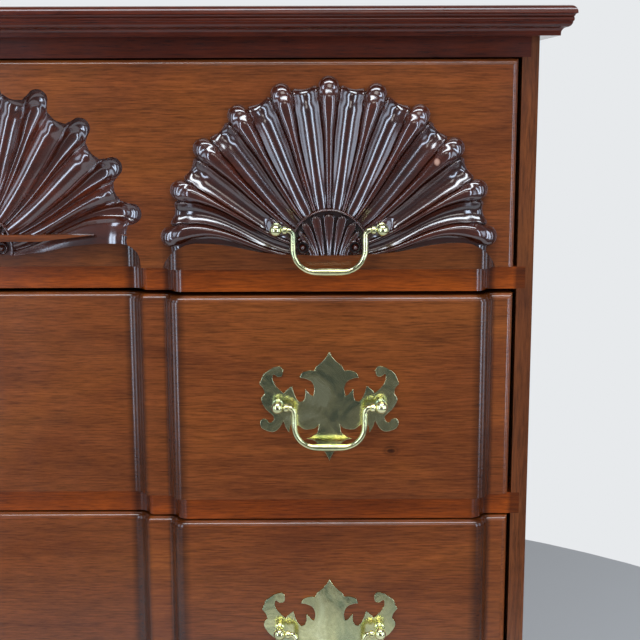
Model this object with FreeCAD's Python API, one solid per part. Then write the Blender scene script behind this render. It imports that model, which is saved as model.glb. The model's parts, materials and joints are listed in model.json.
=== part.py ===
"""Four-drawer block front chest with carved shells, in millimetres.

+Z is up, the front faces -Y, and the origin is on the floor under the middle of the overall box.
"""

import FreeCAD, Part
import math
import os

Vector = FreeCAD.Vector

# Case, outside sizes and boards
CASE_WIDTH = 824.0
CASE_DEPTH = 470.0
SIDE_THICKNESS = 12.0
HOUSING_DEPTH = 6.3
FACING_DEPTH = 10.0
BACK_THICKNESS = 5.0
RAIL_THICKNESS = 16.4
RAIL_DEPTH = 60.0
TOP_RAIL_DEPTH = 40.0
RUNNER_WIDTH = 45.0
DUST_PANEL_THICKNESS = 3.2
PANEL_GROOVE = 6.0
PANEL_CLEARANCE = 0.1

# Heights, from the floor up
FOOT_HEIGHT = 96.0
BASE_HEIGHT = 34.0
BOTTOM_RAIL_SHOW = 8.0
DRAWER_COUNT = 4
TOP_OPENING = 151.4
GRADUATION = 6.5
FRIEZE_HEIGHT = 14.3

# Top board and its moulded edge
TOP_THICKNESS = 20.5
TOP_SIDE_OVERHANG = 22.0
TOP_FRONT_OVERHANG = 24.0
TOP_NOSE_RADIUS = 5.0
TOP_COVE_RADIUS = 2.0
TOP_BEAD_HEIGHT = 3.2
TOP_QUIRK = 0.8
TOP_OGEE_WIDTH = 7.0
TOP_FOOT_FILLET = 1.6
TOP_NOSE_FACETS = 3
MOULDING_FACETS = 2

# Blocking of the front: two raised blocks, one sunk block between them
OUTER_FLAT = 14.4
BLOCK_FACE_HALF = 110.0
BLOCK_RELIEF = 10.3
RECESS_RELIEF = 10.5
OGEE_WIDTH = 11.6
INNER_FLAT = 16.4
BLOCK_DRAFT = 0.55
OGEE_TURN = (0.28, 0.40)
OGEE_FACETS = (2, 3)

# Base moulding and bracket feet
BASE_PROJECTION = 12.0
BASE_PLINTH_HEIGHT = 18.0
BASE_STEP = 1.8
BASE_LIP = 3.4
BASE_LIP_HEIGHT = 2.5
BASE_COVE_FACETS = 2
FOOT_PROJECTION = 10.0
FOOT_THICKNESS = 22.0
FRONT_FOOT_LENGTH = 165.0
SIDE_FOOT_LENGTH = 150.0
FOOT_SOLE_LENGTH = 76.0
FOOT_EAR_HEIGHT = 13.0
FOOT_CUSP_ALONG = 0.68
FOOT_CUSP_UP = 0.66
FOOT_FACETS = 4
FOOT_BLOCK_WIDTH = 35.0
REAR_BRACE_THICKNESS = 16.0
REAR_BRACE_LENGTH = 90.0
GLUE_BLOCK_RISE = 2.0

# Drawers
DRAWER_PROUD = 5.5
DRAWER_SIDE_GAP = 3.0
DRAWER_BOTTOM_GAP = 0.5
DRAWER_TOP_GAPS = (1.2, 3.0, 1.2, 1.2)
DRAWER_REAR_GAP = 15.0
FRONT_BACKING = 12.0
THUMBNAIL_RADIUS = 4.2
THUMBNAIL_STEP = 0.9
THUMBNAIL_FACETS = 2
THUMBNAIL_TURN_DEG = 86.0
DRAWER_BOARD = 11.0
DRAWER_BOTTOM_THICKNESS = 6.0
DRAWER_BOTTOM_LIFT = 7.0
DRAWER_GROOVE = 5.0
SIDE_DROP = 8.0
TAIL_COUNT = 3
TAIL_LENGTH = 14.0
TAIL_SHARE = 0.55
TAIL_SLOPE = 1.0 / 6.0
STOP_LENGTH = 30.0
STOP_DEPTH = 14.0
STOP_HEIGHT = 4.5
STOP_GAP = 0.4

# Carved shells of the top drawer
SHELL_RISE = 15.3
SHELL_TOP_MARGIN = 11.4
SHELL_SPREAD = 1.4
SHELL_RIM = 10.0
RIB_COUNT = 11
RIB_PITCH_DEG = 17.2
RIB_BULB_LENGTH = 16.0
RIB_ROOT_HALF = 2.4
RIB_BULB_HALF = 7.6
RIB_ROOT_CREST = 10.2
RIB_BULB_CREST = 12.0
RIB_TIP_SHARE = 0.5
RIB_CREST_WIDTH = 0.6
RIB_CREST_ROUND = 0.2
FLUTE_RIM_HEIGHT = 3.0
FLUTE_ROOT_HEIGHT = 8.6
PALMETTE_RADIUS = 24.0
PALMETTE_SIDES = 20
SUNK_SHELL_DEPTH = 13.5
SUNK_SHELL_LIP = 1.0
SUNK_SHELL_FIT = 0.15
SEAT_CLEARANCE = 0.3

# Pulls
PULL_BORING = 76.2
PULL_DROP = 3.0
SHELL_PULL_HEIGHT = 30.0
PLATE_THICKNESS = 1.6
POST_STANDOFF = 13.0
BALL_RADIUS = 4.45
NECK_RADIUS = 2.5
COLLAR_RADIUS = 4.0
COLLAR_THICKNESS = 1.6
SHANK_RADIUS = 2.0
SHANK_CLEARANCE = 0.1
SHANK_BEYOND_NUT = 2.0
NUT_HALF_WIDTH = 4.0
NUT_THICKNESS = 3.2
PIN_RADIUS = 1.5
PIN_CLEARANCE = 0.05
PIN_PAST_CENTRE = 1.0
BAIL_ROD_RADIUS = 2.0
BAIL_SWELL_RADIUS = 2.8
BAIL_SWELL_HALF = 15.0
BAIL_DROP = 30.0
BAIL_LEG_HALF = 25.8
BAIL_SHOULDER_RADIUS = 4.0
BAIL_CORNER_RADIUS = 16.0
KNUCKLE_RADIUS = 3.0
KNUCKLE_GAP = 0.6
HARDWARE_SIDES = 8
SHANK_SIDES = 6
BAIL_BEND_FACETS = 2

# Worked out from the sizes above
CASE_HALF = CASE_WIDTH / 2
OPENING_HALF = CASE_HALF - SIDE_THICKNESS
HOUSING_HALF = OPENING_HALF + HOUSING_DEPTH
DRAWER_HALF = OPENING_HALF - DRAWER_SIDE_GAP
BLOCK_CENTRE = DRAWER_HALF - OUTER_FLAT - OGEE_WIDTH - BLOCK_FACE_HALF
PULL_REACH = BALL_RADIUS + POST_STANDOFF + BLOCK_RELIEF + DRAWER_PROUD
CASE_FRONT_Y = (PULL_REACH - CASE_DEPTH) / 2
BACK_Y = CASE_FRONT_Y + CASE_DEPTH
BACK_PANEL_Y = BACK_Y - BACK_THICKNESS
FLAT_Y = CASE_FRONT_Y - DRAWER_PROUD
BLOCK_Y = FLAT_Y - BLOCK_RELIEF
FRONT_BACK_Y = FLAT_Y + RECESS_RELIEF + FRONT_BACKING
RAIL_BACK_Y = CASE_FRONT_Y + RAIL_DEPTH
BASE_TOP = FOOT_HEIGHT + BASE_HEIGHT
BOTTOM_RAIL_TOP = BASE_TOP + BOTTOM_RAIL_SHOW
BOTTOM_RAIL_LOW = BOTTOM_RAIL_TOP - RAIL_THICKNESS
BASE_CORE_Y = CASE_FRONT_Y + FOOT_THICKNESS - FOOT_PROJECTION
FOOT_OUTER_X = CASE_HALF + FOOT_PROJECTION
PIVOT_Y = BLOCK_Y - POST_STANDOFF
FRONT_HEIGHT = TOP_OPENING - DRAWER_BOTTOM_GAP - DRAWER_TOP_GAPS[0]
SHELL_HEIGHT = FRONT_HEIGHT - SHELL_RISE - SHELL_TOP_MARGIN
RAISED_SHELL_HALF = BLOCK_FACE_HALF + OGEE_WIDTH + SHELL_SPREAD
SUNK_SHELL_HALF = BLOCK_CENTRE - BLOCK_FACE_HALF - OGEE_WIDTH - INNER_FLAT
REACH = 60.0
FLATNESS = 1e-6


def opening_heights():
    """Bottom and top of each drawer opening, the top drawer first."""
    openings = []
    bottom = BOTTOM_RAIL_TOP
    for step in reversed(range(DRAWER_COUNT)):
        height = TOP_OPENING + GRADUATION * step
        openings.append((bottom, bottom + height))
        bottom += height + RAIL_THICKNESS
    return openings[::-1]


OPENINGS = opening_heights()
TOP_LOW = OPENINGS[0][1] + FRIEZE_HEIGHT
TOP_HIGH = TOP_LOW + TOP_THICKNESS


# ---------------------------------------------------------------- helpers


def box(x, y, z):
    """Box between a pair of limits along each axis."""
    low = Vector(min(x), min(y), min(z))
    return Part.makeBox(abs(x[1] - x[0]), abs(y[1] - y[0]), abs(z[1] - z[0]), low)


def flat_faces(corners):
    """One face through four corners, or two triangles where they don't lie in a plane."""
    first, second, third, fourth = corners
    normal = (second - first).cross(third - first)
    if abs(normal.dot(fourth - first)) > FLATNESS * normal.Length:
        return [polygon_face([first, second, third]), polygon_face([first, third, fourth])]
    return [polygon_face(corners)]


def skinned(rings):
    """Solid in flat facets through rings of corners, closed at both ends."""
    faces = [polygon_face(rings[0]), polygon_face(rings[-1])]
    for near, far in zip(rings, rings[1:]):
        for corner in range(len(near)):
            before = corner - 1
            faces += flat_faces([near[before], near[corner], far[corner], far[before]])
    shell = Part.makeShell(faces)
    shell.sewShape()
    solid = Part.makeSolid(shell)
    if solid.Volume < 0:
        solid.reverse()
    return solid


def facet_ring(centre, heading, radius, sides):
    """Corners of a regular polygon around a bar that runs along heading."""
    across = Vector(0, 0, 1) if abs(heading.y) > 0.5 else Vector(0, 1, 0)
    other = heading.cross(across)
    corners = []
    for corner in range(sides):
        angle = 2 * math.pi * (corner + 0.5) / sides
        corners.append(centre + (across * math.cos(angle) + other * math.sin(angle)) * radius)
    return corners


def turned_bar(stations, sides=HARDWARE_SIDES):
    """Bar in flat facets through stations, each a centre, a heading and a radius."""
    return skinned([facet_ring(*station, sides) for station in stations])


def rod(radius, start, end, sides=HARDWARE_SIDES):
    """Faceted round bar between two points."""
    heading = (end - start).normalize()
    return turned_bar([(start, heading, radius), (end, heading, radius)], sides)


def bore(radius, start, end, sides=HARDWARE_SIDES):
    """Cutter for a hole, whose flats clear a bar of the same radius."""
    return rod(radius / math.cos(math.pi / sides), start, end, sides)


def mirrored(shape):
    return shape.mirror(Vector(0, 0, 0), Vector(1, 0, 0))


def both_sides(shape):
    """The shape and its mirror image, as separate solids."""
    return [shape, mirrored(shape)]


def polygon_face(corners):
    return Part.Face(Part.makePolygon(corners + corners[:1]))


def polygon_prism(corners, direction):
    return polygon_face(corners).extrude(direction)


def fused(shapes):
    """The shapes joined into one solid."""
    return shapes[0].multiFuse(shapes[1:]).removeSplitter()


def on_plane(x, y):
    """Point of a profile, before the profile is stood in its place."""
    return Vector(x, y, 0)


def block_point(offset, y, z=0):
    """Point at a sideways offset from the right block's centre."""
    return Vector(BLOCK_CENTRE + offset, y, z)


def at_height(corners, z):
    return [Vector(corner.x, corner.y, z) for corner in corners]


def with_mirror(corners):
    """A right-hand run of corners, then its mirror image back to the start."""
    return corners + [Vector(-corner.x, corner.y, corner.z) for corner in reversed(corners)]


def arc_corners(start, middle, end, facets):
    """Corners of the arc through three points, divided into equal facets."""
    return Part.Arc(start, middle, end).toShape().discretize(facets + 1)


def tangent_arc(start, direction, end, facets):
    """Corners of the arc that leaves start along direction and reaches end, and its heading there."""
    chord = end - start
    cross = direction.x * chord.y - direction.y * chord.x
    turn = math.atan2(cross, direction.dot(chord))
    side = Vector(chord.y, -chord.x, 0)
    middle = (start + end) * 0.5 + side * (0.5 * math.tan(turn / 2))
    cosine, sine = math.cos(2 * turn), math.sin(2 * turn)
    arrival = Vector(
        direction.x * cosine - direction.y * sine, direction.x * sine + direction.y * cosine, 0
    )
    return arc_corners(start, middle, end, facets), arrival


# ---------------------------------------------------------------- the blocked front in plan


def ogee(flat_end, face_end):
    """Corners of two arcs in plan, from a crisp edge at the flat to the block's smooth face."""
    step = face_end - flat_end
    turn = flat_end + Vector(step.x * OGEE_TURN[0], step.y * OGEE_TURN[1], 0)
    along_face = Vector(-math.copysign(1.0, step.x), 0, 0)
    hollow_facets, round_facets = OGEE_FACETS
    round_corners, heading = tangent_arc(face_end, along_face, turn, round_facets)
    hollow_corners, _ = tangent_arc(turn, heading, flat_end, hollow_facets)
    return hollow_corners[::-1] + round_corners[-2::-1]


def block_limits(setback):
    """Half widths about a block's centre: its face, the flat's two ends and the sunk face's start."""
    face = BLOCK_FACE_HALF - BLOCK_DRAFT * setback
    flat = face + OGEE_WIDTH
    arris = flat + INNER_FLAT
    return face, flat, arris, arris + OGEE_WIDTH


def front_run(setback, half_width):
    """Right half of the blocked front in plan, setback behind the drawer faces."""
    face, flat, arris, sunk = block_limits(setback)
    flat_y = FLAT_Y + setback
    block_y = flat_y - BLOCK_RELIEF
    sunk_y = flat_y + RECESS_RELIEF
    corners = ogee(block_point(-arris, flat_y), block_point(-sunk, sunk_y))[::-1]
    corners += ogee(block_point(-flat, flat_y), block_point(-face, block_y))
    corners += ogee(block_point(flat, flat_y), block_point(face, block_y))[::-1]
    return corners + [Vector(half_width, flat_y, 0)]


def blocked_plan(setback, half_width, back_y, z):
    """Outline of a board with the blocked front edge and a straight back, at height z."""
    return at_height(with_mirror(front_run(setback, half_width) + [Vector(half_width, back_y, 0)]), z)


def blocked_slab(setback, half_width, back_y, z):
    """Board with the blocked front edge, between two heights."""
    return polygon_prism(blocked_plan(setback, half_width, back_y, z[0]), Vector(0, 0, z[1] - z[0]))


# ---------------------------------------------------------------- case


def top_edge_profile(overhang, inner):
    """Section of the moulded edge: x is the distance outwards from the case, y the height."""
    nose = TOP_THICKNESS - TOP_NOSE_RADIUS
    cove_top = nose - TOP_FOOT_FILLET / 2
    cove_low = cove_top - TOP_COVE_RADIUS
    bead_x = overhang - TOP_COVE_RADIUS
    bead_low = cove_low - TOP_BEAD_HEIGHT
    ogee_high = bead_low - TOP_QUIRK
    ogee_x = bead_x - TOP_QUIRK
    foot_x = ogee_x - TOP_OGEE_WIDTH
    half = math.sqrt(0.5)
    nose_start = overhang - TOP_NOSE_RADIUS
    nose_middle = on_plane(nose_start + TOP_NOSE_RADIUS * half, nose + TOP_NOSE_RADIUS * half)
    nose_arc = on_plane(nose_start, TOP_THICKNESS), nose_middle, on_plane(overhang, nose)
    cove_middle = on_plane(overhang - TOP_COVE_RADIUS * half, cove_top - TOP_COVE_RADIUS * (1 - half))
    cove_arc = on_plane(overhang, cove_top), cove_middle, on_plane(bead_x, cove_low)
    ogee_start = on_plane(ogee_x, ogee_high)
    ogee_middle = on_plane((ogee_x + foot_x) / 2, (ogee_high + TOP_FOOT_FILLET) / 2)
    ogee_end = on_plane(foot_x, TOP_FOOT_FILLET)
    round_corners, heading = tangent_arc(ogee_start, on_plane(0, -1), ogee_middle, MOULDING_FACETS)
    hollow_corners, _ = tangent_arc(ogee_middle, heading, ogee_end, MOULDING_FACETS)
    corners = [on_plane(inner, TOP_THICKNESS)]
    corners += arc_corners(*nose_arc, TOP_NOSE_FACETS)
    corners += arc_corners(*cove_arc, MOULDING_FACETS)
    corners += [on_plane(bead_x, bead_low), on_plane(ogee_x, bead_low)]
    corners += round_corners + hollow_corners[1:]
    return corners + [on_plane(foot_x, 0), on_plane(inner, 0)]


def top_board():
    """The front moulding runs across and the side mouldings run back, mitred where they cross."""
    half_width = CASE_HALF + TOP_SIDE_OVERHANG
    length = 2 * half_width
    front_section = top_edge_profile(TOP_FRONT_OVERHANG, -CASE_DEPTH)
    front = polygon_prism(front_section, Vector(0, 0, length))
    front.rotate(Vector(0, 0, 0), Vector(1, 0, 0), 90)
    front.rotate(Vector(0, 0, 0), Vector(0, 0, 1), -90)
    front.translate(Vector(half_width, CASE_FRONT_Y, TOP_LOW))
    side_section = top_edge_profile(TOP_SIDE_OVERHANG, -CASE_HALF)
    depth = CASE_DEPTH + TOP_FRONT_OVERHANG
    right = polygon_prism(side_section, Vector(0, 0, depth))
    right.rotate(Vector(0, 0, 0), Vector(1, 0, 0), 90)
    right.translate(Vector(CASE_HALF, BACK_Y, TOP_LOW))
    sides = right.fuse(mirrored(right)).removeSplitter()
    return front.common(sides)


def side_panel():
    """Right side: housed for every board that runs across, rebated for the facings and the back."""
    panel = box((OPENING_HALF, CASE_HALF), (CASE_FRONT_Y, BACK_Y), (FOOT_HEIGHT, TOP_LOW))
    housing = (OPENING_HALF, HOUSING_HALF)
    cuts = [box(housing, (CASE_FRONT_Y, CASE_FRONT_Y + FACING_DEPTH), (BOTTOM_RAIL_LOW, TOP_LOW))]
    cuts += [box(housing, (BACK_PANEL_Y, BACK_Y), (BOTTOM_RAIL_LOW, TOP_LOW))]
    cuts += [box(housing, (CASE_FRONT_Y, BACK_Y), (TOP_LOW - FRIEZE_HEIGHT, TOP_LOW))]
    for bottom, _ in OPENINGS:
        cuts += [box(housing, (CASE_FRONT_Y, BACK_Y), (bottom - RAIL_THICKNESS, bottom))]
    return panel.cut(fused(cuts))


def side_facings():
    """Strips on the sides' front edges, cut between the rails."""
    strips = []
    for z in OPENINGS:
        strip = box((OPENING_HALF, HOUSING_HALF), (CASE_FRONT_Y, CASE_FRONT_Y + FACING_DEPTH), z)
        strips += both_sides(strip)
    return Part.makeCompound(strips)


def panel_groove(bottom_z):
    """Room for a dust panel, inside the frame whose underside is at bottom_z."""
    half_width = OPENING_HALF - RUNNER_WIDTH + PANEL_GROOVE
    middle = bottom_z + RAIL_THICKNESS / 2
    half_height = DUST_PANEL_THICKNESS / 2 + PANEL_CLEARANCE
    y = (RAIL_BACK_Y - PANEL_GROOVE, BACK_PANEL_Y - RUNNER_WIDTH + PANEL_GROOVE)
    return box((-half_width, half_width), y, (middle - half_height, middle + half_height))


def divider(bottom_z):
    """Blocked rail between two drawers, grooved behind for the dust panel."""
    z = (bottom_z, bottom_z + RAIL_THICKNESS)
    return blocked_slab(DRAWER_PROUD, HOUSING_HALF, RAIL_BACK_Y, z).cut(panel_groove(bottom_z))


def bottom_rail():
    z = (BOTTOM_RAIL_LOW, BOTTOM_RAIL_TOP)
    return blocked_slab(DRAWER_PROUD, HOUSING_HALF, RAIL_BACK_Y, z)


def top_rail():
    y = (CASE_FRONT_Y, CASE_FRONT_Y + TOP_RAIL_DEPTH)
    return box((-HOUSING_HALF, HOUSING_HALF), y, (TOP_LOW - FRIEZE_HEIGHT, TOP_LOW))


def top_kickers():
    """Strips along the sides that keep the top drawer level and take the top's screws."""
    x = (OPENING_HALF - RUNNER_WIDTH, HOUSING_HALF)
    y = (CASE_FRONT_Y + TOP_RAIL_DEPTH, BACK_PANEL_Y)
    return Part.makeCompound(both_sides(box(x, y, (TOP_LOW - FRIEZE_HEIGHT, TOP_LOW))))


def divider_levels():
    """Underside of each divider that has a dust frame behind it."""
    return [bottom - RAIL_THICKNESS for bottom, _ in OPENINGS[:-1]]


def drawer_runners():
    """Side runners and rear rails behind each divider."""
    boards = []
    inner = OPENING_HALF - RUNNER_WIDTH
    for bottom_z in divider_levels():
        z = (bottom_z, bottom_z + RAIL_THICKNESS)
        groove = panel_groove(bottom_z)
        runner = box((inner, HOUSING_HALF), (RAIL_BACK_Y, BACK_PANEL_Y), z).cut(groove)
        rear = box((-inner, inner), (BACK_PANEL_Y - RUNNER_WIDTH, BACK_PANEL_Y), z).cut(groove)
        boards += both_sides(runner) + [rear]
    return Part.makeCompound(boards)


def dust_panels():
    panels = []
    for bottom_z in divider_levels():
        room = panel_groove(bottom_z).BoundBox
        x = (room.XMin + PANEL_CLEARANCE, room.XMax - PANEL_CLEARANCE)
        y = (room.YMin + PANEL_CLEARANCE, room.YMax - PANEL_CLEARANCE)
        z = (room.ZMin + PANEL_CLEARANCE, room.ZMax - PANEL_CLEARANCE)
        panels.append(box(x, y, z))
    return Part.makeCompound(panels)


def bottom_board():
    x = (-HOUSING_HALF, HOUSING_HALF)
    return box(x, (RAIL_BACK_Y, BACK_PANEL_Y), (BOTTOM_RAIL_LOW, BOTTOM_RAIL_TOP))


def back_panel():
    x = (PANEL_CLEARANCE - HOUSING_HALF, HOUSING_HALF - PANEL_CLEARANCE)
    return box(x, (BACK_PANEL_Y, BACK_Y), (BOTTOM_RAIL_LOW, TOP_LOW))


def drawer_stops():
    """Small blocks on the rails that meet the back of each closed drawer front."""
    stops = []
    y = FRONT_BACK_Y + STOP_GAP
    for bottom, _ in OPENINGS:
        x = (BLOCK_CENTRE - STOP_LENGTH / 2, BLOCK_CENTRE + STOP_LENGTH / 2)
        stops += both_sides(box(x, (y, y + STOP_DEPTH), (bottom, bottom + STOP_HEIGHT)))
    return Part.makeCompound(stops)


# ---------------------------------------------------------------- base


def base_profile():
    """Projection and height of the base moulding's cove, from its plinth to its lip."""
    rise = BASE_HEIGHT - BASE_LIP_HEIGHT - BASE_PLINTH_HEIGHT
    run = BASE_PROJECTION - BASE_STEP - BASE_LIP
    points = []
    for facet in range(BASE_COVE_FACETS + 1):
        angle = math.pi / 2 * facet / BASE_COVE_FACETS
        projection = BASE_LIP + run * (1 - math.sin(angle))
        points.append((projection, BASE_PLINTH_HEIGHT + rise * (1 - math.cos(angle))))
    return points + [(BASE_LIP, BASE_HEIGHT)]


def mitre_wedge(outside):
    """Half of the front right corner beyond the case, on the front's or the side's part of the mitre."""
    corner = Vector(CASE_HALF, CASE_FRONT_Y, 0)
    far = corner + Vector(REACH, -REACH, 0)
    third = corner + (Vector(REACH, 0, 0) if outside else Vector(0, -REACH, 0))
    return polygon_prism([corner, far, third], Vector(0, 0, BASE_TOP))


def base_front():
    """Blocked moulding that follows the bottom rail, with a core behind its plinth."""
    plinth = blocked_slab(
        DRAWER_PROUD - BASE_PROJECTION,
        CASE_HALF + BASE_PROJECTION,
        BASE_CORE_Y,
        (FOOT_HEIGHT, FOOT_HEIGHT + BASE_PLINTH_HEIGHT),
    )
    rings = []
    for out, up in base_profile():
        plan = blocked_plan(DRAWER_PROUD - out, CASE_HALF + out, BASE_CORE_Y, FOOT_HEIGHT + up)
        rings.append(plan)
    cove = skinned(rings)
    rail_room = blocked_slab(
        DRAWER_PROUD, CASE_HALF + REACH, RAIL_BACK_Y, (BOTTOM_RAIL_LOW, BASE_TOP)
    )
    side_room = box(
        (OPENING_HALF, CASE_HALF + REACH), (CASE_FRONT_Y, RAIL_BACK_Y), (FOOT_HEIGHT, BASE_TOP)
    )
    wedge = mitre_wedge(True)
    return plinth.fuse(cove).cut(fused([rail_room] + both_sides(side_room))).cut(
        Part.makeCompound(both_sides(wedge))
    )


def base_side():
    """Straight moulding along the right side."""
    outline = [(0, 0), (BASE_PROJECTION, 0), (BASE_PROJECTION, BASE_PLINTH_HEIGHT)]
    outline += base_profile() + [(0, BASE_HEIGHT)]
    start = CASE_FRONT_Y - BASE_PROJECTION
    points = [Vector(CASE_HALF + out, start, FOOT_HEIGHT + up) for out, up in outline]
    moulding = polygon_prism(points, Vector(0, BACK_Y - start, 0))
    return moulding.cut(mitre_wedge(False))


def base_moulding():
    return Part.makeCompound([base_front()] + both_sides(base_side()))


def bracket_outline(length):
    """Elevation of a bracket foot's board, from its outer corner at zero inwards along x."""
    ear = on_plane(length, FOOT_HEIGHT - FOOT_EAR_HEIGHT)
    toe = on_plane(FOOT_SOLE_LENGTH, 0)
    cusp = on_plane(length * FOOT_CUSP_ALONG, FOOT_HEIGHT * FOOT_CUSP_UP)
    upper, _ = tangent_arc(ear, on_plane(-1, 0), cusp, FOOT_FACETS)
    lower, _ = tangent_arc(toe, on_plane(0, 1), cusp, FOOT_FACETS)
    board = [on_plane(0, 0), on_plane(0, FOOT_HEIGHT), on_plane(length, FOOT_HEIGHT)]
    return board + upper + lower[-2::-1]


def foot_mitre(keep_front):
    """Wedge that takes the side's or the front's half off the corner of a front foot."""
    corner = Vector(FOOT_OUTER_X, CASE_FRONT_Y - FOOT_PROJECTION, 0)
    inner = corner + Vector(-FOOT_THICKNESS, FOOT_THICKNESS, 0)
    third = Vector(corner.x, inner.y, 0) if keep_front else Vector(inner.x, corner.y, 0)
    return polygon_prism([corner, inner, third], Vector(0, 0, FOOT_HEIGHT))


def front_foot():
    """Right front foot: a blocked board across the front, mitred to a flat one on the side."""
    front_y = CASE_FRONT_Y - FOOT_PROJECTION
    back_y = front_y + FOOT_THICKNESS
    setback = DRAWER_PROUD - FOOT_PROJECTION
    plan = blocked_slab(setback, FOOT_OUTER_X, back_y, (0, FOOT_HEIGHT))
    elevation = polygon_prism(bracket_outline(FRONT_FOOT_LENGTH), Vector(0, 0, REACH))
    elevation.rotate(Vector(0, 0, 0), Vector(1, 0, 0), 90)
    elevation = mirrored(elevation)
    elevation.translate(Vector(FOOT_OUTER_X, back_y, 0))
    front = plan.common(elevation).cut(foot_mitre(True))
    side = polygon_prism(bracket_outline(SIDE_FOOT_LENGTH), Vector(0, 0, FOOT_THICKNESS))
    side.rotate(Vector(0, 0, 0), Vector(1, 0, 0), 90)
    side.rotate(Vector(0, 0, 0), Vector(0, 0, 1), 90)
    side.translate(Vector(FOOT_OUTER_X - FOOT_THICKNESS, front_y, 0))
    return Part.makeCompound([front, side.cut(foot_mitre(False))])


def rear_feet():
    """Side brackets at the back, each with a plain brace across."""
    side = polygon_prism(bracket_outline(SIDE_FOOT_LENGTH), Vector(0, 0, FOOT_THICKNESS))
    side.rotate(Vector(0, 0, 0), Vector(1, 0, 0), 90)
    side.rotate(Vector(0, 0, 0), Vector(0, 0, 1), -90)
    side.translate(Vector(FOOT_OUTER_X, BACK_Y, 0))
    inner = OPENING_HALF
    toe = FOOT_SOLE_LENGTH - FOOT_THICKNESS
    brace = polygon_prism(
        [
            Vector(inner, BACK_Y, 0),
            Vector(inner, BACK_Y, BOTTOM_RAIL_LOW),
            Vector(inner - REAR_BRACE_LENGTH, BACK_Y, BOTTOM_RAIL_LOW),
            Vector(inner - REAR_BRACE_LENGTH, BACK_Y, FOOT_HEIGHT),
            Vector(inner - toe, BACK_Y, 0),
        ],
        Vector(0, -REAR_BRACE_THICKNESS, 0),
    )
    return Part.makeCompound(both_sides(side) + both_sides(brace))


def foot_blocks():
    """Square blocks glued in the corner behind each foot."""
    x = (OPENING_HALF - FOOT_BLOCK_WIDTH, OPENING_HALF)
    z = (GLUE_BLOCK_RISE, BOTTOM_RAIL_LOW)
    rear_y = BACK_Y - REAR_BRACE_THICKNESS
    front = box(x, (BASE_CORE_Y, BASE_CORE_Y + FOOT_BLOCK_WIDTH), z)
    rear = box(x, (rear_y - FOOT_BLOCK_WIDTH, rear_y), z)
    return Part.makeCompound(both_sides(front) + both_sides(rear))


# ---------------------------------------------------------------- carved shells


def shell_centre(drawer_bottom, centre_x):
    return Vector(centre_x, FLAT_Y, drawer_bottom + SHELL_RISE)


def rib_angles():
    middle = (RIB_COUNT - 1) / 2
    return [90 + (rib - middle) * RIB_PITCH_DEG for rib in range(RIB_COUNT)]


def oval_reach(angle_deg, half_width, height):
    """Distance from the middle of an oval to its rim, in one direction."""
    turn = math.radians(angle_deg)
    return half_width * height / math.hypot(height * math.cos(turn), half_width * math.sin(turn))


def rib(centre, angle_deg, half_width, facing):
    """Tapered rib of a shell with a bulb at its outer end, raised if facing is 1 and sunk if -1."""
    outer = oval_reach(angle_deg, half_width, SHELL_HEIGHT)
    turn = math.radians(angle_deg)
    outwards = Vector(math.cos(turn), 0, math.sin(turn))
    sideways = Vector(-math.sin(turn), 0, math.cos(turn))
    tip_half = RIB_BULB_HALF * RIB_TIP_SHARE
    stations = [
        (PALMETTE_RADIUS - RIB_ROOT_HALF, RIB_ROOT_HALF, RIB_ROOT_CREST),
        (outer - RIB_BULB_LENGTH, RIB_BULB_HALF, RIB_BULB_CREST),
        (outer - tip_half, RIB_BULB_HALF, RIB_BULB_CREST),
        (outer, tip_half, RIB_BULB_CREST - tip_half),
    ]
    sections = []
    for reach, half, crest in stations:
        rounded = half * RIB_CREST_WIDTH, crest - half * RIB_CREST_ROUND
        right = [rounded, (half, crest - half), (half, 0)]
        outline = [(-side, lift) for side, lift in reversed(right)] + right
        corners = []
        for side, lift in outline:
            corners.append(
                centre + outwards * reach + sideways * side - Vector(0, facing * lift, 0)
            )
        sections.append(corners)
    return skinned(sections)


def fan_outline(centre, half_width, height, lift):
    """Half oval in straight sides, one for each rib, closed along the shell's base line."""
    half_pitch = RIB_PITCH_DEG / 2
    corners = [centre + Vector(half_width, -lift, 0)]
    for angle in rib_angles()[:-1]:
        between = angle + half_pitch
        turn = math.radians(between)
        reach = oval_reach(between, half_width, height) / math.cos(math.radians(half_pitch))
        corners.append(centre + Vector(reach * math.cos(turn), -lift, reach * math.sin(turn)))
    return corners + [centre + Vector(-half_width, -lift, 0)]


def post_places(centre_x):
    return [centre_x - PULL_BORING / 2, centre_x + PULL_BORING / 2]


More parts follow.
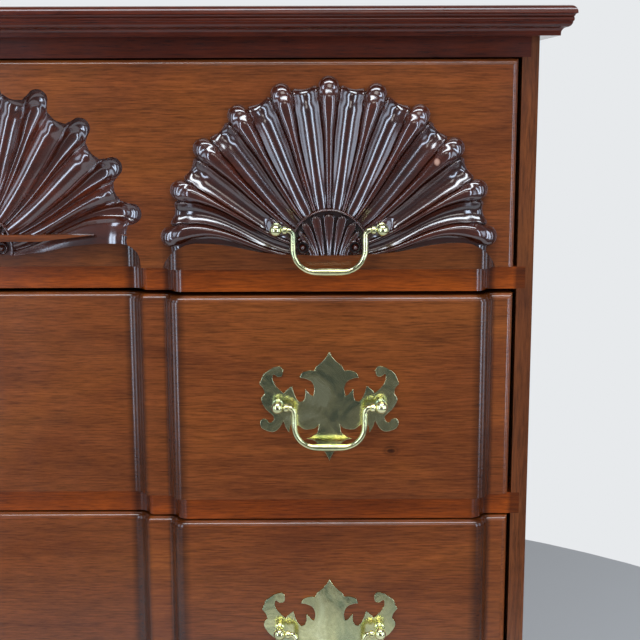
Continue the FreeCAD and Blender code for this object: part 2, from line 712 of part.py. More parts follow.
def raised_shell(drawer_bottom):
    """Right-hand applied carving: a fan of ribs on a dished ground, over a stub of the block."""
    centre = shell_centre(drawer_bottom, BLOCK_CENTRE)
    face, flat, _, _ = block_limits(0)
    ends = []
    for side in (-1, 1):
        flat_end = block_point(side * flat, FLAT_Y, drawer_bottom)
        ends.append(ogee(flat_end, block_point(side * face, BLOCK_Y, drawer_bottom)))
    left, right = ends
    stub = polygon_prism(left + right[::-1], Vector(0, 0, SHELL_RISE))
    rim = RAISED_SHELL_HALF - SHELL_RIM, SHELL_HEIGHT - SHELL_RIM
    ground = skinned(
        [
            fan_outline(centre, *rim, 0),
            fan_outline(centre, *rim, FLUTE_RIM_HEIGHT),
            fan_outline(centre, PALMETTE_RADIUS, PALMETTE_RADIUS, FLUTE_ROOT_HEIGHT),
        ]
    )
    palmette_face = centre - Vector(0, BLOCK_RELIEF, 0)
    palmette = rod(PALMETTE_RADIUS, centre, palmette_face, PALMETTE_SIDES)
    palmette = palmette.cut(box((0, CASE_WIDTH), (BLOCK_Y, FLAT_Y), (0, centre.z)))
    ribs = [rib(centre, angle, RAISED_SHELL_HALF, 1) for angle in rib_angles()]
    height = drawer_bottom + SHELL_PULL_HEIGHT
    seats, spot_faces = [], []
    for x in post_places(BLOCK_CENTRE):
        face = Vector(x, BLOCK_Y, height)
        seats.append(rod(COLLAR_RADIUS, Vector(x, FLAT_Y, height), face))
        spot_faces.append(bore(COLLAR_RADIUS + SEAT_CLEARANCE, face, face - Vector(0, REACH, 0)))
    carving = fused([stub, ground, palmette] + ribs + seats)
    return carving.cut(Part.makeCompound(spot_faces)).cut(shank_holes(BLOCK_CENTRE, height))


def sunk_shell_room(drawer_bottom, clearance):
    """Scalloped pocket of the sunk shell, with a lobe for the end of each rib."""
    centre = shell_centre(drawer_bottom, 0)
    half_width = SUNK_SHELL_HALF - SHELL_RIM - clearance
    outline = fan_outline(centre, half_width, SHELL_HEIGHT - SHELL_RIM - clearance, REACH)
    fan = polygon_prism(outline, Vector(0, REACH + SUNK_SHELL_DEPTH, 0))
    lobe_radius = RIB_BULB_HALF + SUNK_SHELL_LIP
    lobes = []
    for angle in rib_angles():
        turn = math.radians(angle)
        reach = oval_reach(angle, SUNK_SHELL_HALF, SHELL_HEIGHT) - lobe_radius
        middle = centre + Vector(reach * math.cos(turn), 0, reach * math.sin(turn))
        back = middle + Vector(0, SUNK_SHELL_DEPTH, 0)
        lobes.append(rod(lobe_radius - clearance, middle - Vector(0, REACH, 0), back))
    below = box((-CASE_HALF, CASE_HALF), (FLAT_Y - REACH, BACK_Y), (0, centre.z))
    return fused([fan] + lobes).cut(below)


def sunk_shell(drawer_bottom):
    """Middle carving, hollowed where the raised shells have ribs."""
    centre = shell_centre(drawer_bottom, 0)
    room = sunk_shell_room(drawer_bottom, SUNK_SHELL_FIT)
    front_y = FLAT_Y + SUNK_SHELL_LIP
    slab = box((-CASE_HALF, CASE_HALF), (front_y, FLAT_Y + REACH), (0, TOP_HIGH))
    hollows = [rib(centre, angle, SUNK_SHELL_HALF, -1) for angle in rib_angles()]
    return room.common(slab).cut(fused(hollows))


def sunk_stub_room(drawer_bottom):
    """The sunk block's run below the middle shell, down to the drawer's bottom edge."""
    _, _, arris, sunk = block_limits(0)
    sunk_y = FLAT_Y + RECESS_RELIEF
    edge = Vector(BLOCK_CENTRE - arris, FLAT_Y, drawer_bottom)
    right = [edge - Vector(0, REACH, 0)]
    right += ogee(edge, Vector(BLOCK_CENTRE - sunk, sunk_y, drawer_bottom))
    return polygon_prism(with_mirror(right), Vector(0, 0, SHELL_RISE))


# ---------------------------------------------------------------- drawers


def thumbnail_end(setback):
    """Where a drawer front's end rounding meets a face that stands setback behind the flats."""
    depth = max(setback - THUMBNAIL_STEP, 0)
    reach = math.sqrt(THUMBNAIL_RADIUS**2 - (THUMBNAIL_RADIUS - depth) ** 2)
    return DRAWER_HALF - THUMBNAIL_RADIUS + reach


def front_section(setback, blocked, z):
    """Outline of a drawer front, at height z, where its top moulding has gone back by setback."""
    end_x = thumbnail_end(setback)
    centre = Vector(DRAWER_HALF - THUMBNAIL_RADIUS, FLAT_Y + THUMBNAIL_STEP + THUMBNAIL_RADIUS, z)
    start = math.asin((end_x - centre.x) / THUMBNAIL_RADIUS)
    right = front_run(setback, end_x) if blocked else [Vector(end_x, FLAT_Y + setback, z)]
    first = 0 if setback < THUMBNAIL_STEP else 1
    for facet in range(first, THUMBNAIL_FACETS + 1):
        angle = start + (math.pi / 2 - start) * facet / THUMBNAIL_FACETS
        right.append(centre + Vector(math.sin(angle), -math.cos(angle), 0) * THUMBNAIL_RADIUS)
    right.append(Vector(DRAWER_HALF, FRONT_BACK_Y, z))
    return at_height(with_mirror(right), z)


def front_board(z, blocked):
    """Drawer front whose top edge and ends carry the thumbnail moulding."""
    last_angle = math.radians(THUMBNAIL_TURN_DEG)
    step_z = z[1] - THUMBNAIL_RADIUS
    body = polygon_prism(front_section(0, blocked, z[0]), Vector(0, 0, step_z - z[0]))
    rings = []
    for facet in range(THUMBNAIL_FACETS + 1):
        angle = last_angle * facet / THUMBNAIL_FACETS
        setback = THUMBNAIL_STEP + THUMBNAIL_RADIUS * (1 - math.cos(angle))
        height = step_z + THUMBNAIL_RADIUS * math.sin(angle) / math.sin(last_angle)
        rings.append(front_section(setback, blocked, height))
    return fused([body, skinned(rings)])


def drawer_height(number):
    """Bottom and top of a drawer's front."""
    low, high = OPENINGS[number]
    return low + DRAWER_BOTTOM_GAP, high - DRAWER_TOP_GAPS[number]


def side_height(z):
    return z[0], z[1] - SIDE_DROP


def tails(z):
    """The dovetails on the front end of a right-hand drawer side."""
    low, high = side_height(z)
    pitch = (high - low) / TAIL_COUNT
    half = pitch * TAIL_SHARE / 2
    flare = half + TAIL_LENGTH * TAIL_SLOPE
    wedges = []
    for tail in range(TAIL_COUNT):
        middle = low + pitch * (tail + 0.5)
        corners = [(0, half), (-TAIL_LENGTH, flare), (-TAIL_LENGTH, -flare), (0, -half)]
        points = [Vector(DRAWER_HALF, FRONT_BACK_Y + out, middle + up) for out, up in corners]
        wedges.append(polygon_prism(points, Vector(-DRAWER_BOARD, 0, 0)))
    return wedges


def bottom_room(z):
    """Grooves of a drawer's bottom panel, in its front and sides, open at the back."""
    half_width = DRAWER_HALF - DRAWER_BOARD + DRAWER_GROOVE
    low = z[0] + DRAWER_BOTTOM_LIFT
    y = (FRONT_BACK_Y - DRAWER_GROOVE, BACK_PANEL_Y - DRAWER_REAR_GAP)
    return box((-half_width, half_width), y, (low, low + DRAWER_BOTTOM_THICKNESS + 2 * PANEL_CLEARANCE))


def shank_holes(centre_x, height):
    """Bores for one pull's two bolts, from in front of the blocks to the drawer's inside."""
    holes = []
    for x in post_places(centre_x):
        front, back = Vector(x, BLOCK_Y - REACH, height), Vector(x, FRONT_BACK_Y + REACH, height)
        holes.append(bore(SHANK_RADIUS + SHANK_CLEARANCE, front, back, SHANK_SIDES))
    return Part.makeCompound(holes)


def pull_height(number):
    z = drawer_height(number)
    if number == 0:
        return z[0] + SHELL_PULL_HEIGHT
    return (z[0] + z[1]) / 2 - PULL_DROP


def drawer_front(number):
    z = drawer_height(number)
    board = front_board(z, blocked=number > 0)
    if number == 0:
        board = board.cut(sunk_shell_room(z[0], 0)).cut(sunk_stub_room(z[0]))
    sockets = tails(z)
    cuts = sockets + [mirrored(tail) for tail in sockets]
    cuts += [bottom_room(z)]
    for centre_x in (-BLOCK_CENTRE, BLOCK_CENTRE):
        cuts.append(shank_holes(centre_x, pull_height(number)))
    return board.cut(Part.makeCompound(cuts))


def drawer_side(number):
    """Right side of a drawer's box."""
    z = drawer_height(number)
    x = (DRAWER_HALF - DRAWER_BOARD, DRAWER_HALF)
    board = box(x, (FRONT_BACK_Y, BACK_PANEL_Y - DRAWER_REAR_GAP), side_height(z))
    return fused([board] + tails(z)).cut(bottom_room(z))


def drawer_back(number):
    z = drawer_height(number)
    inner = DRAWER_HALF - DRAWER_BOARD
    rear = BACK_PANEL_Y - DRAWER_REAR_GAP
    low = bottom_room(z).BoundBox.ZMax
    return box((-inner, inner), (rear - DRAWER_BOARD, rear), (low, side_height(z)[1]))


def drawer_bottom(number):
    room = bottom_room(drawer_height(number)).BoundBox
    x = (room.XMin + PANEL_CLEARANCE, room.XMax - PANEL_CLEARANCE)
    y = (room.YMin + PANEL_CLEARANCE, room.YMax)
    return box(x, y, (room.ZMin + PANEL_CLEARANCE, room.ZMax - PANEL_CLEARANCE))


# ---------------------------------------------------------------- pulls


def post(x, height, base_y):
    """Ball-headed post whose bolt runs through the drawer front, with its nut."""
    shank_end = FRONT_BACK_Y + NUT_THICKNESS + SHANK_BEYOND_NUT
    forwards = Vector(0, -1, 0)
    ball = math.sqrt(BALL_RADIUS**2 - NECK_RADIUS**2)
    stations = [
        (base_y, NECK_RADIUS),
        (PIVOT_Y + ball, NECK_RADIUS),
        (PIVOT_Y, BALL_RADIUS),
        (PIVOT_Y - ball, NECK_RADIUS),
    ]
    head = turned_bar([(Vector(x, y, height), forwards, radius) for y, radius in stations])
    base = Vector(x, base_y, height)
    shank = rod(SHANK_RADIUS, Vector(x, shank_end, height), base, SHANK_SIDES)
    collar = rod(COLLAR_RADIUS, base, base + forwards * COLLAR_THICKNESS)
    body = fused([shank, collar, head])
    centre = Vector(x, PIVOT_Y, height)
    to_bail = Vector(math.copysign(1, x) * math.copysign(1, BLOCK_CENTRE - abs(x)), 0, 0)
    hole_start = centre - to_bail * (PIN_PAST_CENTRE + PIN_CLEARANCE)
    hole = bore(PIN_RADIUS + PIN_CLEARANCE, hole_start, centre + to_bail * 2 * BALL_RADIUS)
    return [body.cut(hole), nut(Vector(x, FRONT_BACK_Y, height))]


def nut(seat):
    """Hexagon nut against the inside of the drawer front, a slide over the bolt."""
    through = Vector(0, NUT_THICKNESS, 0)
    outside = bore(NUT_HALF_WIDTH, seat, seat + through, SHANK_SIDES)
    hole = bore(SHANK_RADIUS + SHANK_CLEARANCE, seat - through, seat + through * 2, SHANK_SIDES)
    return outside.cut(hole)


def pull_posts(number):
    """The four posts of a drawer's two pulls, with their nuts."""
    base_y = BLOCK_Y if number == 0 else BLOCK_Y - PLATE_THICKNESS
    height = pull_height(number)
    pieces = []
    for centre_x in (-BLOCK_CENTRE, BLOCK_CENTRE):
        for x in post_places(centre_x):
            pieces += post(x, height, base_y)
    return Part.makeCompound(pieces)


def bail_stations():
    """Right half of a bail's bar about its pivot line, from its shoulder to the middle of the grip."""
    inwards, down = Vector(-1, 0, 0), Vector(0, 0, -1)
    shoulder_x = BAIL_LEG_HALF + BAIL_SHOULDER_RADIUS
    grip_x = BAIL_LEG_HALF - BAIL_CORNER_RADIUS
    stations = []
    turns = [math.pi / 2 * step / BAIL_BEND_FACETS for step in range(BAIL_BEND_FACETS + 1)]
    for turn in turns:
        centre = Vector(shoulder_x, 0, -BAIL_SHOULDER_RADIUS)
        outwards = Vector(-math.sin(turn), 0, math.cos(turn))
        heading = inwards * math.cos(turn) + down * math.sin(turn)
        stations.append((centre + outwards * BAIL_SHOULDER_RADIUS, heading, BAIL_ROD_RADIUS))
    for turn in turns:
        centre = Vector(grip_x, 0, BAIL_CORNER_RADIUS - BAIL_DROP)
        outwards = Vector(math.cos(turn), 0, -math.sin(turn))
        heading = down * math.cos(turn) + inwards * math.sin(turn)
        place = centre + outwards * BAIL_CORNER_RADIUS
        stations.append((place, heading, grip_radius(place.x)))
    return stations + [(Vector(0, 0, -BAIL_DROP), inwards, grip_radius(0))]


def grip_radius(x):
    """The grip swells towards its middle."""
    share = max(0, 1 - (x / BAIL_SWELL_HALF) ** 2)
    return BAIL_ROD_RADIUS + (BAIL_SWELL_RADIUS - BAIL_ROD_RADIUS) * share


def bail(centre_x, height):
    """Swinging handle, hanging straight down between its posts."""
    stations = bail_stations()
    for centre, heading, radius in stations[-2::-1]:
        mirror_centre = Vector(-centre.x, 0, centre.z)
        stations = stations + [(mirror_centre, Vector(heading.x, 0, -heading.z), radius)]
    ball_face = PULL_BORING / 2 - math.sqrt(BALL_RADIUS**2 - PIN_RADIUS**2)
    shoulder = stations[0][0]
    knuckle_end = Vector(ball_face - KNUCKLE_GAP, 0, 0)
    pin_end = Vector(PULL_BORING / 2 + PIN_PAST_CENTRE, 0, 0)
    knuckle = rod(KNUCKLE_RADIUS, shoulder, knuckle_end)
    pin = rod(PIN_RADIUS, knuckle_end, pin_end)
    whole = fused([turned_bar(stations)] + both_sides(knuckle) + both_sides(pin))
    whole.translate(Vector(centre_x, PIVOT_Y, height))
    return whole


def plate_outline():
    """Right half of the pierced-edge back plate, about the middle of the line through its posts."""
    finial = [(0, 39.4), (4.9, 33.0), (9.6, 29.4), (11.2, 25.6)]
    horn = [(18.0, 25.0), (22.2, 20.6), (13.4, 17.2), (11.6, 7.9)]
    leaf = [(18.4, 13.2), (22.6, 3.9)]
    spur = [(28.4, 15.2), (34.0, 9.8)]
    curl = [(40.4, 14.4), (38.6, 20.8), (34.4, 25.4), (38.2, 29.4), (47.8, 25.6)]
    ear = [(52.3, 17.0), (48.2, 9.8), (50.4, 2.6), (42.2, -5.6)]
    tail = [(44.6, -11.2), (52.0, -10.4), (50.6, -16.6), (43.0, -18.6), (33.0, -11.0)]
    skirt = [(25.2, -16.0), (8.0, -13.0), (17.6, -24.0)]
    pendant = [(6.4, -29.4), (0, -43.6)]
    corners = finial + horn + leaf + spur + curl + ear + tail + skirt + pendant
    return [Vector(x, 0, z) for x, z in corners]


def back_plate(centre_x, height):
    right = plate_outline()
    left = [Vector(-corner.x, 0, corner.z) for corner in right[-2:0:-1]]
    plate = polygon_prism(right + left, Vector(0, -PLATE_THICKNESS, 0))
    plate.translate(Vector(centre_x, BLOCK_Y, height))
    return plate.cut(shank_holes(centre_x, height))


def back_plates(number):
    height = pull_height(number)
    return Part.makeCompound([back_plate(x, height) for x in (-BLOCK_CENTRE, BLOCK_CENTRE)])


# ---------------------------------------------------------------- output


def case_nodes():
    right_side = side_panel()
    right_foot = front_foot()
    nodes = {
        "top_board": top_board(),
        "side_panel_left": mirrored(right_side),
        "side_panel_right": right_side,
        "bottom_board": bottom_board(),
        "back_panel": back_panel(),
        "top_rail": top_rail(),
        "bottom_rail": bottom_rail(),
        "side_facings": side_facings(),
        "drawer_runners": drawer_runners(),
        "dust_panels": dust_panels(),
        "top_kickers": top_kickers(),
        "drawer_stops": drawer_stops(),
        "base_moulding": base_moulding(),
        "front_foot_left": mirrored(right_foot),
        "front_foot_right": right_foot,
        "rear_feet": rear_feet(),
        "foot_blocks": foot_blocks(),
    }
    for index, bottom_z in enumerate(divider_levels()):
        nodes[f"divider_{index + 1}"] = divider(bottom_z)
    return nodes


def drawer_nodes(number):
    """One drawer's box, hardware and carving, numbered from the top."""
    name = f"drawer_{number + 1}"
    side = drawer_side(number)
    height = pull_height(number)
    nodes = {
        f"{name}_front": drawer_front(number),
        f"{name}_side_left": mirrored(side),
        f"{name}_side_right": side,
        f"{name}_back": drawer_back(number),
        f"{name}_bottom": drawer_bottom(number),
        f"{name}_pull_posts": pull_posts(number),
        f"{name}_bail_left": bail(-BLOCK_CENTRE, height),
        f"{name}_bail_right": bail(BLOCK_CENTRE, height),
    }
    if number == 0:
        low = drawer_height(0)[0]
        right_shell = raised_shell(low)
        nodes["shell_left"] = mirrored(right_shell)
        nodes["shell_centre"] = sunk_shell(low)
        nodes["shell_right"] = right_shell
    else:
        nodes[f"{name}_back_plates"] = back_plates(number)
    return nodes


def main():
    os.makedirs("parts", exist_ok=True)
    nodes = case_nodes()
    for number in range(DRAWER_COUNT):
        nodes.update(drawer_nodes(number))
    for name, shape in nodes.items():
        shape.exportStep(os.path.join("parts", name + ".step"))


main()
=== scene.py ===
"""Block front chest of drawers: its visible pieces and finishes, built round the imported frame."""

import json
import math

import bmesh
import bpy
from bpy.props import FloatProperty, FloatVectorProperty, IntProperty, PointerProperty
from mathutils import Matrix, Vector


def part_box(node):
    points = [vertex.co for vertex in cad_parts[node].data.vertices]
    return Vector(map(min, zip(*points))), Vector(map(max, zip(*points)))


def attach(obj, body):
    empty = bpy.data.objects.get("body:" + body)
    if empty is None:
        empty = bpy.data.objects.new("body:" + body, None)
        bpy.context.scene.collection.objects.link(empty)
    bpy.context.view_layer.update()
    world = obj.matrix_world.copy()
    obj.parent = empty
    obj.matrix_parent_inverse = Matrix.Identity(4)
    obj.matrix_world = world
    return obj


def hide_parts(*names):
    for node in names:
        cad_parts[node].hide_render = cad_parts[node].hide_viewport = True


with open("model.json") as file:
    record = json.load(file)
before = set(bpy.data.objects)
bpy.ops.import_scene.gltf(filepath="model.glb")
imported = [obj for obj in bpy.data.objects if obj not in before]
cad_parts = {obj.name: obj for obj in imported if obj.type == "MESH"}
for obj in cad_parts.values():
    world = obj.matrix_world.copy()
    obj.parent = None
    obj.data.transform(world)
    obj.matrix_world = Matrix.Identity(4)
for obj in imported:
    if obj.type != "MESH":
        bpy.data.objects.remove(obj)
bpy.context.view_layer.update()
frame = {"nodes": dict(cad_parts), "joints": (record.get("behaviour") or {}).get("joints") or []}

bl_info = {
    "name": "Block front chest",
    "version": (1, 0, 0),
    "blender": (4, 5, 0),
    "location": "3D View > Sidebar > Chest",
    "description": "Models a block front chest of drawers with carved shells and brass bail pulls",
    "category": "Add Mesh",
}

MM = 0.001
DRAWERS = (1, 2, 3, 4)
SIDES = (("left", -1), ("right", 1))
CREASE = math.radians(32)
CARVED_CREASE = BAIL_CREASE = math.radians(50)
PLATE_CREASE = math.radians(25)
POST_CREASE = math.radians(40)
MERGE = 1e-6
STOP_GAP = 1e-5

# Where the frame puts things
side_low, side_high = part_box("side_panel_right")
CASE_HALF, OPENING_HALF = side_high.x, side_low.x
CASE_BACK = side_high.y
FOOT_TOP = side_low.z
flat_low, flat_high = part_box("drawer_1_front")
FLAT_Y, FRONT_BACK_Y, DRAWER_HALF = flat_low.y, flat_high.y, flat_high.x
BLOCK_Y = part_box("drawer_2_front")[0].y
PIVOTS = {joint["child"]: Vector(joint["pos_m"]) for joint in frame["joints"] if "bail" in joint["child"]}
BLOCK_X = PIVOTS["drawer_1_bail_right"].x
FOOT_OUTER_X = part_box("front_foot_right")[1].x


# ---------------------------------------------------------------- sizes and colours


def metres(name, description, default):
    return FloatProperty(name=name, description=description, default=default, unit="LENGTH")


def ratio(name, description, default):
    return FloatProperty(name=name, description=description, default=default, subtype="FACTOR")


def tint(name, description, default):
    return FloatVectorProperty(
        name=name, description=description, default=default, subtype="COLOR", size=3, min=0, max=1,
    )


class BlockingSizes(bpy.types.PropertyGroup):
    """Plan of the blocked front."""

    face_half: metres("Block face", "Half width of a block's face", 0.110)
    ogee_width: metres("Ogee width", "Width of the curve beside a block", 0.0116)
    inner_flat: metres("Inner flat", "Flat between a raised and the sunk block", 0.0164)
    sunk_relief: metres("Sunk depth", "Depth of the sunk block behind the flats", 0.0105)
    rail_setback: metres("Rail setback", "How far the rails stand behind the drawers", 0.0055)
    draft: ratio("Draft", "Narrowing of a block for each unit of setback", 0.55)
    turn_along: ratio("Ogee turn along", "Where the hollow meets the round, along the ogee", 0.28)
    turn_out: ratio("Ogee turn out", "Where the hollow meets the round, across the ogee", 0.40)
    thumbnail: metres("Thumbnail radius", "Rounding of a drawer front's edges", 0.0042)
    thumbnail_step: metres("Thumbnail step", "Step before the rounding", 0.0009)


class MouldingSizes(bpy.types.PropertyGroup):
    """Sections of the top's edge and of the base."""

    nose: metres("Nose radius", "Rounding of the top's upper edge", 0.005)
    cove: metres("Cove radius", "Hollow under the nose", 0.002)
    bead: metres("Bead height", "Height of the band under the hollow", 0.0032)
    quirk: metres("Quirk", "Step under the band", 0.0008)
    ogee_width: metres("Ogee width", "Run of the top's lower curve", 0.007)
    foot_fillet: metres("Foot fillet", "Plain strip at the bottom of the top's edge", 0.0016)
    base_out: metres("Base projection", "How far the base stands out of the case", 0.012)
    plinth: metres("Plinth height", "Plain part of the base moulding", 0.018)
    base_step: metres("Base step", "Step between plinth and cove", 0.0018)
    lip: metres("Lip", "Projection of the lip above the cove", 0.0034)
    lip_height: metres("Lip height", "Height of the lip above the cove", 0.0025)


class FootSizes(bpy.types.PropertyGroup):
    """Bracket feet."""

    thickness: metres("Thickness", "Thickness of a foot's board", 0.022)
    front_length: metres("Front length", "Length of a foot along the front", 0.165)
    side_length: metres("Side length", "Length of a foot along the side", 0.150)
    sole: metres("Sole", "Length of the part that stands on the floor", 0.076)
    ear: metres("Ear", "Height of a foot's inner end", 0.013)
    cusp_along: ratio("Cusp along", "Place of the cusp along the foot", 0.68)
    cusp_up: ratio("Cusp up", "Place of the cusp up the foot", 0.66)
    brace_thickness: metres("Brace thickness", "Thickness of a back brace", 0.016)
    brace_length: metres("Brace length", "Length of a back brace", 0.090)


class ShellSizes(bpy.types.PropertyGroup):
    """Carved shells of the top drawer."""

    rise: metres("Rise", "Height of the fan's centre over the drawer's edge", 0.0153)
    bulb_reach: metres("Lobe reach", "Distance of a raised shell's lobes from the fan's centre", 0.1155)
    sunk_reach: metres("Sunk lobe reach", "Distance of the sunk shell's lobes from the fan's centre", 0.1200)
    sunk_drop: metres("Sunk drop", "How much lower the sunk fan's centre is", 0.0015)
    bulb: metres("Lobe radius", "Radius of a rib's lobe", 0.0075)
    crest: metres("Crest", "Height of the ribs behind the lobes", 0.0122)
    lobe: metres("Lobe height", "Height of a rib's lobe at the rim", 0.0096)
    flute: metres("Flute", "Height of a flute's middle at the rim", 0.0040)
    ridge: metres("Ridge", "Height of a flute's edges at the rim", 0.0080)
    roll: metres("Roll", "Depth of the rolled rim", 0.0072)
    dip: metres("Dip", "Distance from the rim to the rise behind the lobes", 0.0075)
    arch: metres("Arch radius", "Radius of the arch round the palmette", 0.02765)
    ribs: IntProperty(name="Ribs", description="Number of ribs in a raised shell", default=11)
    pitch: FloatProperty(
        name="Pitch", description="Angle between ribs", default=math.radians(17.2), subtype="ANGLE",
    )


class PullSizes(bpy.types.PropertyGroup):
    """Brass pulls."""

    boring: metres("Boring", "Distance between a pull's posts", 0.0762)
    plate: metres("Plate", "Thickness of a back plate", 0.0016)
    ball: metres("Ball", "Radius of a post's ball", 0.00445)
    neck: metres("Neck", "Radius of a post's neck", 0.0024)
    collar: metres("Collar", "Radius of the collar under a post", 0.0042)
    shank: metres("Shank", "Radius of a post's bolt", 0.002)
    rod: metres("Rod", "Radius of a bail's bar", 0.002)
    swell: metres("Swell", "Radius of the grip's middle", 0.0028)
    swell_half: metres("Swell half", "Half length of the grip's swelling", 0.015)
    drop: metres("Drop", "Depth of a bail under its pivots", 0.030)
    leg_half: metres("Leg half", "Half distance between a bail's legs", 0.0258)
    shoulder: metres("Shoulder", "Radius of a bail's upper bend", 0.004)
    corner: metres("Corner", "Radius of a bail's lower bend", 0.016)
    knuckle: metres("Knuckle", "Radius of a bail's end beside the ball", 0.003)


class FinishColours(bpy.types.PropertyGroup):
    """Colours of the finishes."""

    front: tint("Fronts", "Colour of the drawer fronts", (0.170, 0.041, 0.0085))
    rail: tint("Rails", "Colour of the rails between the drawers", (0.235, 0.041, 0.003))
    case: tint("Case", "Colour of the case", (0.135, 0.036, 0.009))
    carved: tint("Carving", "Colour of the carved shells", (0.058, 0.010, 0.0035))
    secondary: tint("Secondary wood", "Colour of the inner boards", (0.42, 0.27, 0.14))
    brass: tint("Brass", "Colour of the pulls", (0.70, 0.67, 0.37))
    floor: tint("Floor", "Colour of the floor", (0.74, 0.74, 0.735))


def settings():
    return bpy.context.scene.chest


class ChestSettings(bpy.types.PropertyGroup):
    """Everything that shapes and colours the chest."""

    blocking: PointerProperty(type=BlockingSizes)
    mouldings: PointerProperty(type=MouldingSizes)
    feet: PointerProperty(type=FootSizes)
    shells: PointerProperty(type=ShellSizes)
    pulls: PointerProperty(type=PullSizes)
    colours: PointerProperty(type=FinishColours)


# ---------------------------------------------------------------- mesh helpers


def new_mesh():
    """Empty mesh whose points carry their number in a ring."""
    bm = bmesh.new()
    bm.verts.layers.int.new("corner")
    return bm


def fresh(result, kind):
    return [item for item in result["geom"] if isinstance(item, kind)]


def loft(bm, rings):
    """Solid drawn out through rings of corners and capped at both ends."""
    corner = bm.verts.layers.int["corner"]
    ring = []
    for number, place in enumerate(rings[0]):
        point = bm.verts.new(place)
        point[corner] = number
        ring.append(point)
    edges = [bm.edges.new((ring[number - 1], ring[number])) for number in range(len(ring))]
    first = list(edges)
    for places in rings[1:]:
        grown = bmesh.ops.extrude_edge_only(bm, edges=edges)
        points = set(fresh(grown, bmesh.types.BMVert))
        edges = [e for e in fresh(grown, bmesh.types.BMEdge) if e.verts[0] in points and e.verts[1] in points]
        for point in points:
            point.co = places[point[corner]]
    bmesh.ops.contextual_create(bm, geom=first)
    bmesh.ops.contextual_create(bm, geom=edges)


def sheet(bm, columns, rows, place):
    """Grid of points, each set down by place(column, row). Returns its points."""
    made = bmesh.ops.create_grid(bm, x_segments=columns, y_segments=rows, size=0.5)["verts"]
    for point in made:
        column = round((point.co.x + 0.5) * columns)
        row = round((point.co.y + 0.5) * rows)
        point.co = place(column, row)
    return made


def close_back(bm, points, back_y):
    """Draws the rim of an open sheet back to a plane and fills it there."""
    mine = set(points)
    rim = [e for e in bm.edges if e.is_boundary and e.verts[0] in mine]
    grown = bmesh.ops.extrude_edge_only(bm, edges=rim)
    new = set(fresh(grown, bmesh.types.BMVert))
    for point in new:
        point.co.y = back_y
    edges = [e for e in fresh(grown, bmesh.types.BMEdge) if e.verts[0] in new and e.verts[1] in new]
    bmesh.ops.contextual_create(bm, geom=edges)


def mirror_over(bm):
    """Turns everything into its mirror image across the chest's middle."""
    bmesh.ops.scale(bm, vec=(-1, 1, 1), verts=bm.verts)
    bmesh.ops.reverse_faces(bm, faces=bm.faces)


def with_twin(bm):
    """Adds the mirror image across the chest's middle."""
    both = bmesh.ops.duplicate(bm, geom=bm.verts[:] + bm.edges[:] + bm.faces[:])
    bmesh.ops.scale(bm, vec=(-1, 1, 1), verts=fresh(both, bmesh.types.BMVert))


def to_object(bm, name):
    """Cleans a mesh and makes it an object at the origin."""
    bmesh.ops.remove_doubles(bm, verts=bm.verts, dist=MERGE)
    bmesh.ops.dissolve_degenerate(bm, edges=bm.edges, dist=MERGE / 2)
    bmesh.ops.recalc_face_normals(bm, faces=bm.faces)
    mesh = bpy.data.meshes.new(name)
    bm.to_mesh(mesh)
    bm.free()
    piece = bpy.data.objects.new(name, mesh)
    bpy.context.scene.collection.objects.link(piece)
    return piece


def carve(piece, bm):
    """Cuts the cutter's solids out of the piece."""
    cutter = to_object(bm, "cutter")
    cut = piece.modifiers.new("cut", "BOOLEAN")
    cut.operation, cut.solver, cut.object = "DIFFERENCE", "EXACT", cutter
    evaluated = piece.evaluated_get(bpy.context.evaluated_depsgraph_get())
    result = bpy.data.meshes.new_from_object(evaluated)
    piece.modifiers.clear()
    piece.data = result
    bpy.data.objects.remove(cutter)


def finish_piece(piece, body, material, nodes, crease=CREASE):
    """Shades a piece, gives it its finish and lets it ride in place of its CAD nodes."""
    bm = bmesh.new()
    bm.from_mesh(piece.data)
    for face in bm.faces:
        face.smooth = True
    for edge in bm.edges:
        edge.smooth = len(edge.link_faces) == 2 and edge.calc_face_angle(0) < crease
    bm.to_mesh(piece.data)
    bm.free()
    piece.data.materials.clear()
    piece.data.materials.append(material)
    even = piece.modifiers.new("even shading", "WEIGHTED_NORMAL")
    even.keep_sharp = True
    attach(piece, body)
    if nodes:
        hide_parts(*nodes)
    return piece


# ---------------------------------------------------------------- curves in plan and section


def flat_point(x, y):
    return Vector((x, y))


def tangent_arc(start, heading, end, facets):
    """Points of the arc that leaves start along heading and reaches end, and its last heading."""
    chord = end - start
    turn = math.atan2(heading.x * chord.y - heading.y * chord.x, heading.dot(chord))
    points = []
    for facet in range(facets + 1):
        swing = turn * facet / facets
        reach = chord.length * math.sin(swing) / math.sin(turn)
        points.append(start + Matrix.Rotation(swing, 2) @ heading * reach)
    return points, Matrix.Rotation(2 * turn, 2) @ heading


def ogee(flat_end, face_end, facets=(5, 12)):
    """Curve from a crisp edge at the flat to a block's smooth face."""
    sizes = settings().blocking
    step = face_end - flat_end
    turn = flat_end + flat_point(step.x * sizes.turn_along, step.y * sizes.turn_out)
    along_face = flat_point(-math.copysign(1, step.x), 0)
    rounded, heading = tangent_arc(face_end, along_face, turn, facets[1])
    hollow, _ = tangent_arc(turn, heading, flat_end, facets[0])
    return hollow[::-1] + rounded[-2::-1]


def block_limits(setback):
    """Half widths about a block's centre: its face, the flat's two ends and the sunk face's start."""
    sizes = settings().blocking
    face = sizes.face_half - sizes.draft * setback
    flat = face + sizes.ogee_width
    arris = flat + sizes.inner_flat
    return face, flat, arris, arris + sizes.ogee_width


